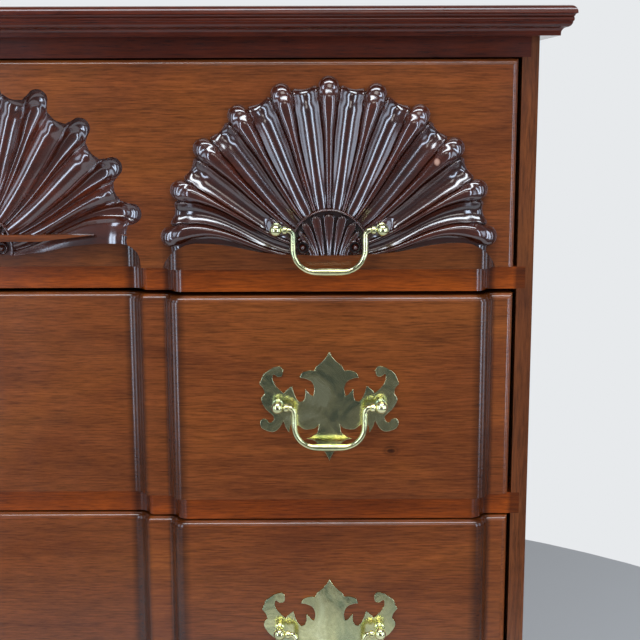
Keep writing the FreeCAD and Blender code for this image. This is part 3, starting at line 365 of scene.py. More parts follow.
def front_run(setback, half_width):
    """Right half of the blocked front in plan."""
    face, flat, arris, sunk = block_limits(setback)
    flat_y = FLAT_Y + setback
    block_y = BLOCK_Y + setback
    sunk_y = flat_y + settings().blocking.sunk_relief
    run = ogee(flat_point(BLOCK_X - arris, flat_y), flat_point(BLOCK_X - sunk, sunk_y))[::-1]
    run += ogee(flat_point(BLOCK_X - flat, flat_y), flat_point(BLOCK_X - face, block_y))
    run += ogee(flat_point(BLOCK_X + flat, flat_y), flat_point(BLOCK_X + face, block_y))[::-1]
    return run + [flat_point(half_width, flat_y)]


def symmetric_ring(right, z):
    """Ring of corners at one height, from the right half of a plan."""
    whole = right + [flat_point(-point.x, point.y) for point in reversed(right)]
    return [Vector((point.x, point.y, z)) for point in whole]


def blocked_ring(setback, half_width, back_y, z):
    return symmetric_ring(front_run(setback, half_width) + [flat_point(half_width, back_y)], z)


# ---------------------------------------------------------------- finishes


class Finish:
    """Node tree of one material, built a step at a time."""

    def __init__(self, name):
        self.material = bpy.data.materials.new(name)
        self.material.use_nodes = True
        self.tree = self.material.node_tree
        self.shader = self.tree.nodes["Principled BSDF"]
        self.coordinates = self.add("ShaderNodeTexCoord").outputs["Object"]

    def add(self, kind, **values):
        node = self.tree.nodes.new(kind)
        for name, value in values.items():
            setattr(node, name, value)
        return node

    def join(self, source, target):
        self.tree.links.new(source, target)

    def set(self, **values):
        """Sets the shader's own sockets, named with underscores for spaces."""
        for name, value in values.items():
            self.shader.inputs[name.replace("_", " ")].default_value = value

    def colour(self, source):
        self.join(source, self.shader.inputs["Base Color"])

    def place(self, scale, offset=(0, 0, 0)):
        """The object's coordinates, scaled and then moved."""
        node = self.add("ShaderNodeMapping")
        node.inputs["Scale"].default_value = scale
        node.inputs["Location"].default_value = offset
        self.join(self.coordinates, node.inputs["Vector"])
        return node.outputs["Vector"]

    def noise(self, scale, detail=4.0, roughness=0.55, distortion=0.0):
        """Noise stretched by a scale along each axis."""
        noise = self.add("ShaderNodeTexNoise")
        noise.inputs["Scale"].default_value = 1
        noise.inputs["Detail"].default_value = detail
        noise.inputs["Roughness"].default_value = roughness
        noise.inputs["Distortion"].default_value = distortion
        self.join(self.place(scale), noise.inputs["Vector"])
        return noise.outputs["Fac"]

    def ramp(self, source, stops):
        """Colours along a value; each stop is a place and a colour or a grey level."""
        node = self.add("ShaderNodeValToRGB")
        elements = node.color_ramp.elements
        while len(elements) < len(stops):
            elements.new(0.5)
        for element, (place, colour) in zip(elements, stops):
            element.position = place
            element.color = (*colour, 1) if isinstance(colour, tuple) else (colour, colour, colour, 1)
        self.join(source, node.inputs["Fac"])
        return node.outputs["Color"]

    def multiply(self, first, second, share=1):
        return self.blend(first, second, "MULTIPLY", share)

    def rough(self, source, stops):
        self.join(self.ramp(source, stops), self.shader.inputs["Roughness"])

    def blend(self, first, second, mode, share):
        node = self.add("ShaderNodeMix", data_type="RGBA", blend_type=mode)
        node.inputs["Factor"].default_value = share
        self.join(first, node.inputs["A"])
        self.join(second, node.inputs["B"])
        return node.outputs["Result"]

    def bump(self, source, strength, distance):
        node = self.add("ShaderNodeBump")
        node.inputs["Strength"].default_value = strength
        node.inputs["Distance"].default_value = distance
        self.join(source, node.inputs["Height"])
        self.join(node.outputs["Normal"], self.shader.inputs["Normal"])


def shade(colour, *shares):
    """A colour with each channel multiplied by its share, or all by the one share."""
    return tuple(min(1, channel * share) for channel, share in zip(colour, shares * (3 // len(shares))))


# Small marks of age: middle, half sizes, and colours by distance from the middle
KNOT = (0.3070, 0, 0.5441), (0.0075, 0.0045), ((0, 0.22), (0.30, 0.30), (0.48, 0.75), (0.62, 0.6), (1, 1))
CHIP = (0.3381, 0, 0.7582), (0.0024, 0.0030), ((0, (0.50, 0.30, 0.22)), (0.55, (0.42, 0.24, 0.17)), (1, 0))
# Reach of the painted shade in the ogees, counted from a block's middle
OGEE_SHADE_REACH = 0.2
CARVING_DEPTH = 0.0125


def along_grain(axis, along, across):
    """Scale of a pattern that is stretched along one axis."""
    scale = [across, across, across]
    scale["xyz".index(axis)] = along
    return tuple(scale)


def mahogany(name, colour, axis, shaded=False):
    """Polished mahogany whose grain runs along one axis, darker in the ogees by painted shade, partly dark
    stain in their hollows.
    """
    finish = Finish(name)
    figure = finish.noise(along_grain(axis, 6, 15), distortion=0.8)
    tones = (0.30, shade(colour, 0.72, 0.66, 0.70)), (0.50, colour), (0.70, shade(colour, 1.22, 1.30, 1.1))
    bands = finish.noise(along_grain(axis, 9, 110), distortion=0.3)
    streaks = finish.noise(along_grain(axis, 60, 900), detail=5, roughness=0.72)
    wood = finish.ramp(figure, tones)
    wood = finish.multiply(wood, finish.ramp(bands, [(0.34, 0.82), (0.52, 1), (0.68, 1.14)]))
    wood = finish.multiply(wood, finish.ramp(streaks, [(0.34, 0.52), (0.50, 1), (0.66, 1.40)]), 0.9)
    if shaded:
        # painted shade in the ogees, partly dark stain in their hollows
        wood = finish.multiply(wood, ogee_painted_shade(finish))
        wood = finish.multiply(wood, spot(finish, *KNOT))
    finish.colour(wood)
    finish.rough(finish.noise((38, 38, 38), detail=5), [(0.3, 0.17), (0.7, 0.26)])
    finish.set(Specular_IOR_Level=0.3, Coat_Weight=0.6, Coat_Roughness=0.22)
    finish.bump(streaks, 0.07, 0.0002)
    return finish.material


def spot(finish, middle, half, stops):
    """Ramp over the distance from a small mark's middle, which reaches 1 at the half sizes."""
    scale = Vector((1 / half[0], 0, 1 / half[1]))
    away = finish.add("ShaderNodeVectorMath", operation="LENGTH")
    finish.join(finish.place(scale, -Vector(middle) * scale), away.inputs[0])
    return finish.ramp(away.outputs["Value"], stops)


def ogee_painted_shade(finish):
    """Painted shade, partly dark stain in the hollows: grey that darkens the ogees beside each block, by
    their distance from the block's middle.
    """
    parts = finish.add("ShaderNodeSeparateXYZ")
    finish.join(finish.coordinates, parts.inputs["Vector"])
    value = parts.outputs["X"]
    share = 1 / OGEE_SHADE_REACH
    for kind, amount in ("ABSOLUTE", 0), ("SUBTRACT", BLOCK_X), ("ABSOLUTE", 0), ("MULTIPLY", share):
        step = finish.add("ShaderNodeMath", operation=kind)
        finish.join(value, step.inputs[0])
        step.inputs[1].default_value = amount
        value = step.outputs["Value"]
    face, flat, arris, sunk = block_limits(0)
    stops = [(face - 0.005, 1), (face + 0.001, 0.42), (flat - 0.0015, 0.36), (flat + 0.002, 1.1)]
    stops += [(arris - 0.002, 1.1), (arris + 0.001, 0.42), (sunk - 0.001, 0.38), (sunk + 0.004, 1)]
    return finish.ramp(value, [(place / OGEE_SHADE_REACH, level) for place, level in stops])


def carved_mahogany(name, colour):
    """Dark stain under a thick gloss, with painted shade deepest in the hollows, and redder on the crests."""
    finish = Finish(name)
    figure = finish.noise((26, 60, 60), detail=5, distortion=0.6)
    tones = (0.30, shade(colour, 0.7)), (0.52, colour), (0.70, shade(colour, 1.5, 1.4, 1.1))
    wood = finish.ramp(figure, tones)
    streaks = finish.noise((60, 420, 420))
    wood = finish.multiply(wood, finish.ramp(streaks, [(0.35, 0.75), (0.6, 1.12)]), 0.7)
    # painted shade in the carving's hollows
    wood = finish.multiply(wood, depth_shade(finish))
    finish.colour(finish.blend(wood, spot(finish, *CHIP), "ADD", 1))
    wear = finish.noise((60, 60, 60))
    finish.rough(wear, [(0.35, 0.22), (0.7, 0.34)])
    finish.set(Specular_IOR_Level=0.15, Coat_Weight=1, Coat_Roughness=0.17, Coat_IOR=1.95)
    finish.bump(wear, 0.08, 0.0005)
    return finish.material


def depth_shade(finish):
    """Painted shade by how far the carving stands out of the drawer's face, dark in its hollows."""
    parts = finish.add("ShaderNodeSeparateXYZ")
    finish.join(finish.coordinates, parts.inputs["Vector"])
    out = finish.add("ShaderNodeMapRange")
    out.inputs["From Min"].default_value = FLAT_Y + CARVING_DEPTH
    out.inputs["From Max"].default_value = FLAT_Y - CARVING_DEPTH
    finish.join(parts.outputs["Y"], out.inputs["Value"])
    stops = (0.02, 1.1), (0.20, 1.1), (0.45, 0.7), (0.64, 0.45), (0.72, 0.6), (0.84, 0.8), (0.96, 0.95)
    tones = [(place, (level, level * 0.98, level * 0.9)) for place, level in stops]
    return finish.ramp(out.outputs["Result"], tones)


def plain_wood(name, colour, axis):
    """Unfinished secondary wood."""
    finish = Finish(name)
    figure = finish.noise(along_grain(axis, 1.2, 14), distortion=0.5)
    base = finish.ramp(figure, [(0.3, shade(colour, 0.78)), (0.55, colour), (0.75, shade(colour, 1.2))])
    streaks = finish.noise(along_grain(axis, 12, 320), detail=5)
    finish.colour(finish.multiply(base, finish.ramp(streaks, [(0.3, 0.75), (0.6, 1.05)]), 0.6))
    finish.set(Roughness=0.62, Specular_IOR_Level=0.3)
    finish.bump(streaks, 0.2, 0.0003)
    return finish.material


def aged_brass(name, colour):
    """Rubbed brass with darker, greener tarnish."""
    finish = Finish(name)
    cloud = finish.noise((34, 34, 34), detail=3, distortion=1.0)
    tarnish = (0.36, shade(colour, 0.62, 0.70, 0.72)), (0.46, shade(colour, 0.98, 1.0, 0.95))
    rubbed = (0.54, shade(colour, 1.15, 1.13, 1.05)), (0.66, shade(colour, 1.5, 1.45, 1.5))
    finish.colour(finish.ramp(cloud, tarnish + rubbed))
    finish.rough(finish.noise((420, 420, 420), detail=3), [(0.3, 0.14), (0.7, 0.24)])
    finish.set(Metallic=1)
    finish.bump(cloud, 0.18, 0.0010)
    return finish.material


MATERIALS = {}


def finish_for(name):
    """The named finish, made once; a second word gives the way the grain runs."""
    if name not in MATERIALS:
        colours = settings().colours
        front, case = tuple(colours.front), tuple(colours.case)
        kind, _, axis = name.partition(" ")
        makers = {
            "front": lambda: mahogany("front mahogany", front, "x", True),
            "plain": lambda: mahogany("flat front mahogany", front, "x"),
            # painted shade: the block under each shell takes a darker copy of the fronts' colour, for the
            # shade under the carving
            "stub": lambda: mahogany("shaded mahogany", shade(front, 0.66), "x", True),
            "rail": lambda: mahogany("rail mahogany", tuple(colours.rail), "x", True),
            # painted shadow: a darker copy of the case colour; on the frieze rail it stands for the shadow
            # under the top's overhang, and the moulded top takes it too
            "top": lambda: mahogany("dark top and painted shadow mahogany", shade(case, 0.56, 0.24, 0.10), "x"),
            "case": lambda: mahogany(f"case mahogany along {axis}", case, axis),
            "carved": lambda: carved_mahogany("carved mahogany", tuple(colours.carved)),
            "secondary": lambda: plain_wood(f"secondary wood along {axis}", tuple(colours.secondary), axis),
            "brass": lambda: aged_brass("aged brass", tuple(colours.brass)),
        }
        MATERIALS[name] = makers[kind]()
    return MATERIALS[name]


# ---------------------------------------------------------------- pieces


def quarter(steps):
    """Angles of a quarter turn."""
    return [math.pi / 2 * step / steps for step in range(steps + 1)]


def top_edge_section():
    """Moulded edge from the underside up: distance out from the outline, and height."""
    sizes = settings().mouldings
    low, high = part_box("top_board")
    nose = high.z - low.z - sizes.nose
    cove_top = nose - sizes.foot_fillet / 2
    cove_low = cove_top - sizes.cove
    ogee_in = sizes.cove + sizes.quirk
    foot_in = ogee_in + sizes.ogee_width
    start = flat_point(-ogee_in, cove_low - sizes.bead)
    end = flat_point(-foot_in, sizes.foot_fillet)
    middle = (start + end) / 2
    rounded, heading = tangent_arc(start, flat_point(0, -1), middle, 7)
    hollow, _ = tangent_arc(middle, heading, end, 7)
    soft, bead = sizes.quirk, sizes.bead / 2
    section = [flat_point(-foot_in, 0)] + hollow[::-1] + rounded[-2::-1]
    for step in range(7):
        turn = math.pi * step / 6
        out = soft * math.sin(turn) - soft - sizes.cove
        section.append(flat_point(out, cove_low - bead - bead * math.cos(turn)))
    for turn in quarter(5):
        section.append(flat_point(-sizes.cove * math.cos(turn), cove_top - sizes.cove * (1 - math.sin(turn))))
    for turn in quarter(8):
        section.append(flat_point(-sizes.nose * (1 - math.cos(turn)), nose + sizes.nose * math.sin(turn)))
    return section


class CHEST_OT_top_board(bpy.types.Operator):
    """Add the top board with its moulded edge on the front and the sides"""

    bl_idname = "chest.top_board"
    bl_label = "Top board"

    def execute(self, context):
        low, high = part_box("top_board")
        rings = []
        for point in top_edge_section():
            half, front = high.x + point.x, low.y - point.x
            corners = (-half, CASE_BACK), (-half, front), (half, front), (half, CASE_BACK)
            rings.append([Vector((x, y, low.z + point.y)) for x, y in corners])
        bm = new_mesh()
        loft(bm, rings)
        piece = to_object(bm, "moulded_top")
        finish_piece(piece, "case", finish_for("top"), ["top_board"])
        return {"FINISHED"}


class CHEST_OT_rails(bpy.types.Operator):
    """Add the blocked rails between and under the drawers"""

    bl_idname = "chest.rails"
    bl_label = "Blocked rails"

    def execute(self, context):
        setback = settings().blocking.rail_setback
        for node in ("divider_1", "divider_2", "divider_3", "bottom_rail"):
            low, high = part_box(node)
            bm = new_mesh()
            loft(bm, [blocked_ring(setback, high.x, high.y, z) for z in (low.z, high.z)])
            piece = to_object(bm, f"blocked_{node}")
            finish_piece(piece, "case", finish_for("rail"), [node])
        return {"FINISHED"}


BASE_OVERLAP = 0.002


class CHEST_OT_base(bpy.types.Operator):
    """Add the base moulding, blocked across the front and straight along the sides"""

    bl_idname = "chest.base"
    bl_label = "Base moulding"

    def execute(self, context):
        sizes = settings().mouldings
        low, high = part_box("base_moulding")
        height = high.z - low.z
        rise = height - sizes.lip_height - sizes.plinth
        run = sizes.base_out - sizes.base_step - sizes.lip
        section = [(sizes.base_out, 0), (sizes.base_out, sizes.plinth)]
        for turn in quarter(8):
            out = sizes.lip + run * (1 - math.sin(turn))
            section.append((out, sizes.plinth + rise * (1 - math.cos(turn))))
        section.append((sizes.lip, height))
        setback = settings().blocking.rail_setback
        core = FLAT_Y + setback + settings().feet.thickness - sizes.base_out + BASE_OVERLAP
        rings = []
        for out, up in section:
            right = front_run(setback - out, CASE_HALF + out) + [flat_point(CASE_HALF + out, CASE_BACK)]
            right += [flat_point(CASE_HALF, CASE_BACK), flat_point(CASE_HALF, core)]
            rings.append(symmetric_ring(right, low.z + up))
        bm = new_mesh()
        loft(bm, rings)
        piece = to_object(bm, "blocked_base")
        finish_piece(piece, "case", finish_for("case x"), ["base_moulding"])
        return {"FINISHED"}


def bracket_underside(length):
    """Pairs of distance along a bracket foot and height of its lower edge."""
    sizes = settings().feet
    ear = flat_point(length, FOOT_TOP - sizes.ear)
    toe = flat_point(sizes.sole, 0)
    cusp = flat_point(length * sizes.cusp_along, FOOT_TOP * sizes.cusp_up)
    upper, _ = tangent_arc(ear, flat_point(-1, 0), cusp, 12)
    lower, _ = tangent_arc(toe, flat_point(0, 1), cusp, 14)
    return lower + upper[-2::-1]


def plan_depth(run, x):
    """Front of the blocked plan at a distance from the chest's middle."""
    for near, far in zip(run, run[1:]):
        if near.x <= x <= far.x:
            share = (x - near.x) / max(far.x - near.x, 1e-9)
            return near.y + (far.y - near.y) * share
    return run[-1].y


def bracket_rings(length, section, stops=()):
    """Rings of a bracket foot, with more at the stops; section gives its two sides at a distance along it."""
    sizes = settings().feet
    edge = [(0.0, 0.0), (sizes.thickness, 0.0), (sizes.sole, 0.0)]
    edge += [(point.x, point.y) for point in bracket_underside(length)[1:]]
    filled = []
    for (along, height), (after, after_height) in zip(edge, edge[1:]):
        filled.append((along, height))
        for stop in sorted(stops):
            if along + STOP_GAP < stop < after - STOP_GAP:
                share = (stop - along) / (after - along)
                filled.append((stop, height + (after_height - height) * share))
    filled.append(edge[-1])
    rings = []
    for along, height in filled:
        outer, inner = section(along)
        rings.append([(*outer, height), (*outer, FOOT_TOP), (*inner, FOOT_TOP), (*inner, height)])
    return rings


def front_foot_mesh(bm):
    """Right front foot: a blocked board across the front, mitred to a flat one on the side."""
    sizes = settings().feet
    front_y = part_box("side_panel_right")[0].y - (FOOT_OUTER_X - CASE_HALF)
    setback = settings().blocking.rail_setback - (FOOT_OUTER_X - CASE_HALF)
    run = front_run(setback, FOOT_OUTER_X)
    back_y = front_y + sizes.thickness
    stops = [FOOT_OUTER_X - point.x for point in run]

    def across(along):
        x = FOOT_OUTER_X - along
        front = plan_depth(run, x)
        return (x, front), (x, min(back_y, front_y + along))

    loft(bm, bracket_rings(sizes.front_length, across, stops))

    def back(along):
        inner = FOOT_OUTER_X - min(along, sizes.thickness)
        return (FOOT_OUTER_X, front_y + along), (inner, front_y + along)

    loft(bm, bracket_rings(sizes.side_length, back))


class CHEST_OT_feet(bpy.types.Operator):
    """Add the four bracket feet"""

    bl_idname = "chest.feet"
    bl_label = "Bracket feet"

    def execute(self, context):
        sizes = settings().feet
        for side, sign in SIDES:
            bm = new_mesh()
            front_foot_mesh(bm)
            if sign < 0:
                mirror_over(bm)
            piece = to_object(bm, f"bracket_foot_{side}")
            finish_piece(piece, "case", finish_for("case x"), [f"front_foot_{side}"])
        bm = new_mesh()

        def forwards(along):
            return (FOOT_OUTER_X, CASE_BACK - along), (FOOT_OUTER_X - sizes.thickness, CASE_BACK - along)

        loft(bm, bracket_rings(sizes.side_length, forwards))
        end, toe = OPENING_HALF - sizes.brace_length, OPENING_HALF - sizes.sole + sizes.thickness
        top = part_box("bottom_rail")[0].z
        outline = [(OPENING_HALF, 0), (OPENING_HALF, top), (end, top), (end, FOOT_TOP), (toe, 0)]
        sides = CASE_BACK, CASE_BACK - sizes.brace_thickness
        loft(bm, [[Vector((x, y, z)) for x, z in outline] for y in sides])
        with_twin(bm)
        piece = to_object(bm, "bracket_feet_rear")
        finish_piece(piece, "case", finish_for("case x"), ["rear_feet"])
        return {"FINISHED"}


def thumbnail_end(setback):
    """Where a front's end rounding meets a face that stands setback behind the flats."""
    sizes = settings().blocking
    depth = max(setback - sizes.thumbnail_step, 0)
    reach = math.sqrt(max(0, sizes.thumbnail**2 - (sizes.thumbnail - depth) ** 2))
    return DRAWER_HALF - sizes.thumbnail + reach


def front_ring(setback, blocked, z):
    """Outline of a drawer front where its top rounding has gone back by setback."""
    sizes = settings().blocking
    end_x = thumbnail_end(setback)
    centre = flat_point(DRAWER_HALF - sizes.thumbnail, FLAT_Y + sizes.thumbnail_step + sizes.thumbnail)
    start = math.asin(min(1, (end_x - centre.x) / sizes.thumbnail))
    right = front_run(setback, end_x) if blocked else [flat_point(end_x, FLAT_Y + setback)]
    for facet in range(9):
        angle = start + (math.pi / 2 - start) * facet / 8
        right.append(centre + flat_point(math.sin(angle), -math.cos(angle)) * sizes.thumbnail)
    return symmetric_ring(right + [flat_point(DRAWER_HALF, FRONT_BACK_Y)], z)


def front_mesh(bm, low_z, high_z, blocked):
    """Drawer front whose top edge and ends carry the thumbnail moulding."""
    sizes = settings().blocking
    last = math.radians(86)
    step_z = high_z - sizes.thumbnail
    rings = [front_ring(0, blocked, low_z), front_ring(0, blocked, step_z)]
    for facet in range(11):
        angle = last * facet / 10
        setback = sizes.thumbnail_step + sizes.thumbnail * (1 - math.cos(angle))
        rise = sizes.thumbnail * math.sin(angle) / math.sin(last)
        rings.append(front_ring(setback, blocked, step_z + rise))
    loft(bm, rings)


TAILS, TAIL_SHARE, TAIL_SLOPE = 3, 0.55, 1 / 6
SOCKET_OVERSHOOT = 0.001


def cut_sockets(piece, number):
    """Cuts the sockets of the dovetails into both ends of a drawer front."""
    low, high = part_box(f"drawer_{number}_side_right")
    pitch = (high.z - low.z) / TAILS
    half = pitch * TAIL_SHARE / 2
    length = FRONT_BACK_Y - low.y
    flare = half + length * TAIL_SLOPE
    right = [(SOCKET_OVERSHOOT, half), (0, half), (-length, flare)]
    corners = right + [(out, -up) for out, up in right[::-1]]
    sides = low.x, high.x + SOCKET_OVERSHOOT
    bm = new_mesh()
    for tail in range(TAILS):
        middle = low.z + pitch * (tail + 0.5)
        loft(bm, [[Vector((x, FRONT_BACK_Y + out, middle + up)) for out, up in corners] for x in sides])
    with_twin(bm)
    carve(piece, bm)


class CHEST_OT_blocked_fronts(bpy.types.Operator):
    """Add the three blocked drawer fronts"""

    bl_idname = "chest.blocked_fronts"
    bl_label = "Blocked drawer fronts"

    def execute(self, context):
        for number in DRAWERS[1:]:
            low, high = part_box(f"drawer_{number}_front")
            bm = new_mesh()
            front_mesh(bm, low.z, high.z, True)
            piece = to_object(bm, f"drawer_{number}_blocked_front")
            cut_sockets(piece, number)
            body, nodes = f"drawer_{number}", [f"drawer_{number}_front"]
            finish_piece(piece, body, finish_for("front"), nodes)
        return {"FINISHED"}


# Places across half a pitch of the fan, from a rib's middle to a flute's middle
RIB_EDGE = 0.46
RIDGE_TOP = 0.54
PITCH_STEPS = (
    0, 0.08, 0.16, 0.24, 0.31, 0.37, 0.41, 0.44, RIB_EDGE,
    0.48, 0.51, RIDGE_TOP, 0.58, 0.64, 0.72, 0.82, 0.92, 1,
)
# How far the rim stands past the lobes' middles, in millimetres, at those places
RIM_STEPS = (
    (0.43, -0.4), (RIB_EDGE, -0.3), (0.48, 0.1), (0.51, 0.6), (RIDGE_TOP, 0.9), (0.58, 1.1),
    (0.64, 0.9), (0.72, 0.4), (0.82, -0.3), (0.92, -0.6), (1, -0.7),
)
SKIRT_STEPS = (0.25, 0.5, 0.75, 1)
FAN_ROWS, ROW_CROWDING = 60, 1.7
ROOT_REACH = 0.029

# The sunk shell's flutes end short of the lobes by this, in millimetres
SUNK_NOTCH = 5.6
# The lowest ribs arch over before their ends, and all run in below the fan's centre
ARCHING, ARCHING_FROM = math.radians(7), 0.9
ROOT_BEND = math.radians(14.5)

# Heights gained behind the lobes and lost again on the way down to the palmette
LOBE_RUN = 0.0070
FALL = (0.030, 0.092)
CREST_FALL = 0.0034
RIDGE_GAIN, RIDGE_FALL = 0.0013, 0.0026
FLUTE_GAIN, FLUTE_ROOT_GAIN = 0.0012, 0.0006
GROOVE_DEPTH, GROOVE_GAIN = 0.0012, 0.0016
# Stretches inside the rim over which a rib narrows, each by the same share
NECKS = (0.007, 0.016), (0.018, 0.040)
NARROWING = 0.20

# Lower edges of the raised and the sunk shell: distance from the middle and height, in millimetres
BASE_LINE = (
    (0, -5.0), (14, -5.0), (26, -4.6), (36, -4.0), (49, -2.9), (60, -0.6), (70, 1.6), (83.6, 3.5),
    (97.3, 3.9), (104, 2.6), (109, 0.4), (113, -2.4), (117, -6.4), (120, -10.4), (121.8, -14.6),
    (140, -15.0),
)
SUNK_BASE_LINE = (
    (0, -5.0), (26, -4.6), (49, -2.9), (70, 1.6), (90, 3.6), (106, 3.9), (112, 3.2), (117, 1.0),
    (120.5, -2.2), (122.4, -7.0), (123, -13.0),
)


def table_value(table, place):
    """Value of a piecewise straight curve."""
    if place <= table[0][0]:
        return table[0][1]
    for (near, value), (far, after) in zip(table, table[1:]):
        if place <= far:
            return value + (after - value) * (place - near) / (far - near)
    return table[-1][1]


def smooth_share(value, start, end):
    share = min(1, max(0, (value - start) / (end - start)))
    return share * share * (3 - 2 * share)


class Fan:
    """Layout of one shell: how many ribs, and the edge under them."""

    def __init__(self, facing):
        sizes = settings().shells
        self.facing = facing
        self.raised = facing > 0
        self.ribs = sizes.ribs if self.raised else sizes.ribs - 1
        self.base = BASE_LINE if self.raised else SUNK_BASE_LINE
        self.bulb_reach = sizes.bulb_reach if self.raised else sizes.sunk_reach

    def rim_reach(self, across):
        """Reach of the scalloped rim, at a share of half a pitch from a rib's middle."""
        sizes = settings().shells
        sideways = self.bulb_reach * sizes.pitch / 2 * across
        if sideways < sizes.bulb:
            return self.bulb_reach + math.sqrt(sizes.bulb**2 - sideways**2)
        notch = 0 if self.raised else SUNK_NOTCH * smooth_share(across, 0.43, 0.58)
        return self.bulb_reach + (table_value(RIM_STEPS, across) - notch) * MM

    def bent_angle(self, angle, reach):
        """The ribs run in below the fan's centre, and the lowest arch over before their ends."""
        level = abs(math.cos(angle))
        share = min(1, max(0, (reach - ROOT_REACH) / (self.bulb_reach - ROOT_REACH)))
        arching = ARCHING * (max(0, level - ARCHING_FROM) / (1 - ARCHING_FROM)) ** 1.15
        bend = arching * math.sin(math.pi * share) - ROOT_BEND * level * (1 - share) ** 2
        return angle + bend * math.copysign(1, math.cos(angle))

    def middle_of(self, rib):
        return math.pi / 2 + (rib - (self.ribs - 1) / 2) * settings().shells.pitch

    def base_height(self, x):
        """Height of the shell's lower edge over the fan's centre."""
        return table_value(self.base, abs(x) / MM) * MM

    def columns(self):
        """Rib's angle, share of half a pitch from it, and share of the way down to the lower edge."""
        last = self.ribs - 1
        limit = RIB_EDGE if self.raised else 1
        columns = [(self.middle_of(0), -limit, share) for share in SKIRT_STEPS[::-1]]
        for rib in range(self.ribs):
            before = [-step for step in PITCH_STEPS[:0:-1]]
            after = list(PITCH_STEPS)
            if rib == 0:
                before = [step for step in before if step >= -limit]
            if rib == last:
                after = [step for step in after if step <= limit]
            else:
                after = after[:-1]
            columns += [(self.middle_of(rib), step, 0) for step in before + after]
        return columns + [(self.middle_of(last), limit, share) for share in SKIRT_STEPS]


def dome(away, reach):
    """Share of a rounded form's height at a distance from its middle."""
    return math.sqrt(max(0, 1 - (away / reach) ** 2))


def fan_height(across, inside):
    """Height of the carving at a share of half a pitch from a rib's middle and a distance inside the rim."""
    sizes = settings().shells
    rise = smooth_share(inside, sizes.dip, sizes.dip + LOBE_RUN)
    fall = smooth_share(inside, *FALL)
    crest = sizes.lobe + (sizes.crest - sizes.lobe) * rise - CREST_FALL * fall
    ridge = sizes.ridge + RIDGE_GAIN * rise - RIDGE_FALL * fall
    flute = sizes.flute + FLUTE_GAIN * rise + FLUTE_ROOT_GAIN * fall
    groove = ridge - GROOVE_DEPTH - GROOVE_GAIN * rise * (1 - fall)
    rounding = 2.2 + 1.6 * rise
    if across <= RIB_EDGE:
        height = groove + (crest - groove) * math.sqrt(max(0, 1 - (across / RIB_EDGE) ** rounding))
    elif across < RIDGE_TOP:
        climb = math.pi / 2 * (across - RIB_EDGE) / (RIDGE_TOP - RIB_EDGE)
        height = groove + (ridge - groove) * math.sin(climb)
    else:
        share = (across - RIDGE_TOP) / (1 - RIDGE_TOP)
        height = flute + (ridge - flute) * max(0, 1 - share) ** 2.2
    depth = sizes.roll if across <= RIB_EDGE else sizes.roll * 0.7
    if inside < depth:
        height *= dome(depth - inside, depth)
    return height


SEAT_LEVEL, SEAT_END = 0.0046, 0.0062


def seated(height, x, z, seats):
    """Height of the carving, levelled under the posts' collars."""
    for seat_x, seat_z in seats:
        away = math.hypot(x - seat_x, z - seat_z)
        height += (FLAT_Y - BLOCK_Y - height) * (1 - smooth_share(away, SEAT_LEVEL, SEAT_END))
    return height


def soften(bm, points):
    """Rounds the carving's creases without moving its outline. It lowers the edges of levelled seats too."""
    inner = [point for point in points if not point.is_boundary]
    for _ in range(3):
        bmesh.ops.smooth_vert(bm, verts=inner, factor=0.5, use_axis_y=True)


def fan_mesh(bm, fan, middle, seats, back_y):
    """Ribs and flutes of a shell."""
    sizes = settings().shells
    columns = fan.columns()
    ends = (fan.middle_of(0), -1), (fan.middle_of(fan.ribs - 1), 1)

    def place(column, row):
        rib, step, skirt = columns[column]
        outer_flute = abs(step) > RIB_EDGE and (rib, math.copysign(1, step)) in ends
        across = abs(step)
        rim = fan.rim_reach(across)
        share = 1 - (1 - row / FAN_ROWS) ** ROW_CROWDING
        reach = ROOT_REACH + (rim - ROOT_REACH) * share
        inside = rim - reach
        width = 1 - sum(NARROWING * smooth_share(inside, *neck) for neck in NECKS)
        edge = RIB_EDGE * width
        if across <= RIB_EDGE:
            spread = across * width
        else:
            spread = edge + (across - RIB_EDGE) / (1 - RIB_EDGE) * (1 - edge)
        angle = fan.bent_angle(rib + math.copysign(spread, step) * sizes.pitch / 2, reach)
        x, z = reach * math.cos(angle), reach * math.sin(angle)
        if outer_flute:
            z += (min(z, fan.base_height(x)) - z) * (across - RIB_EDGE) / (1 - RIB_EDGE)
        z += (min(z, fan.base_height(x)) - z) * skirt
        height = seated(fan_height(across, inside), x, z, seats)
        return Vector((middle.x + x, FLAT_Y - fan.facing * height, middle.z + z))

    points = sheet(bm, len(columns) - 1, FAN_ROWS, place)
    soften(bm, points)
    close_back(bm, points, back_y)


# Petals of the right half in millimetres: places of foot and top, half widths there, top's height, bend
PETALS = (
    (0, 0, 1.5, 4.9, 24.9, 1),
    (4.6, 10.0, 1.9, 4.3, 23.6, 1.1),
    (8.6, 18.2, 1.8, 4.0, 18.6, 1.2),
    (12.2, 21.4, 2.2, 3.0, 12.2, 1.25),
)
PETAL_TIP = 5
PETAL_SHOULDER = 7

# Palmette: its foot below the fan's centre, its ground, and the heights that stand on it
PALMETTE_FLOOR = 0.0050
PALMETTE_EDGE, PALMETTE_HOLE = 0.00125, 0.0004
GROUND, PETAL_RISE = 0.0042, 0.0046
SUNK_SHARE = 0.75
ARCH_HALF, ARCH_FOOT, ARCH_RISE = 0.00115, 0.0070, 0.0034
# Volutes at the arch's feet: middle, and distances from it in millimetres
VOLUTE = (0.0191, 0.0002)
EYE, EYE_FOOT, EYE_RISE = 2.6, 0.0045, 0.0052
CURL_START, CURL, CURL_HALF, CURL_RISE = 4.0, 4.6, 0.6, 0.0044
BEAD_PLACE = (0.0216, 0.0062)
BEAD, BEAD_FOOT, BEAD_RISE = 1.6, 0.0055, 0.0034


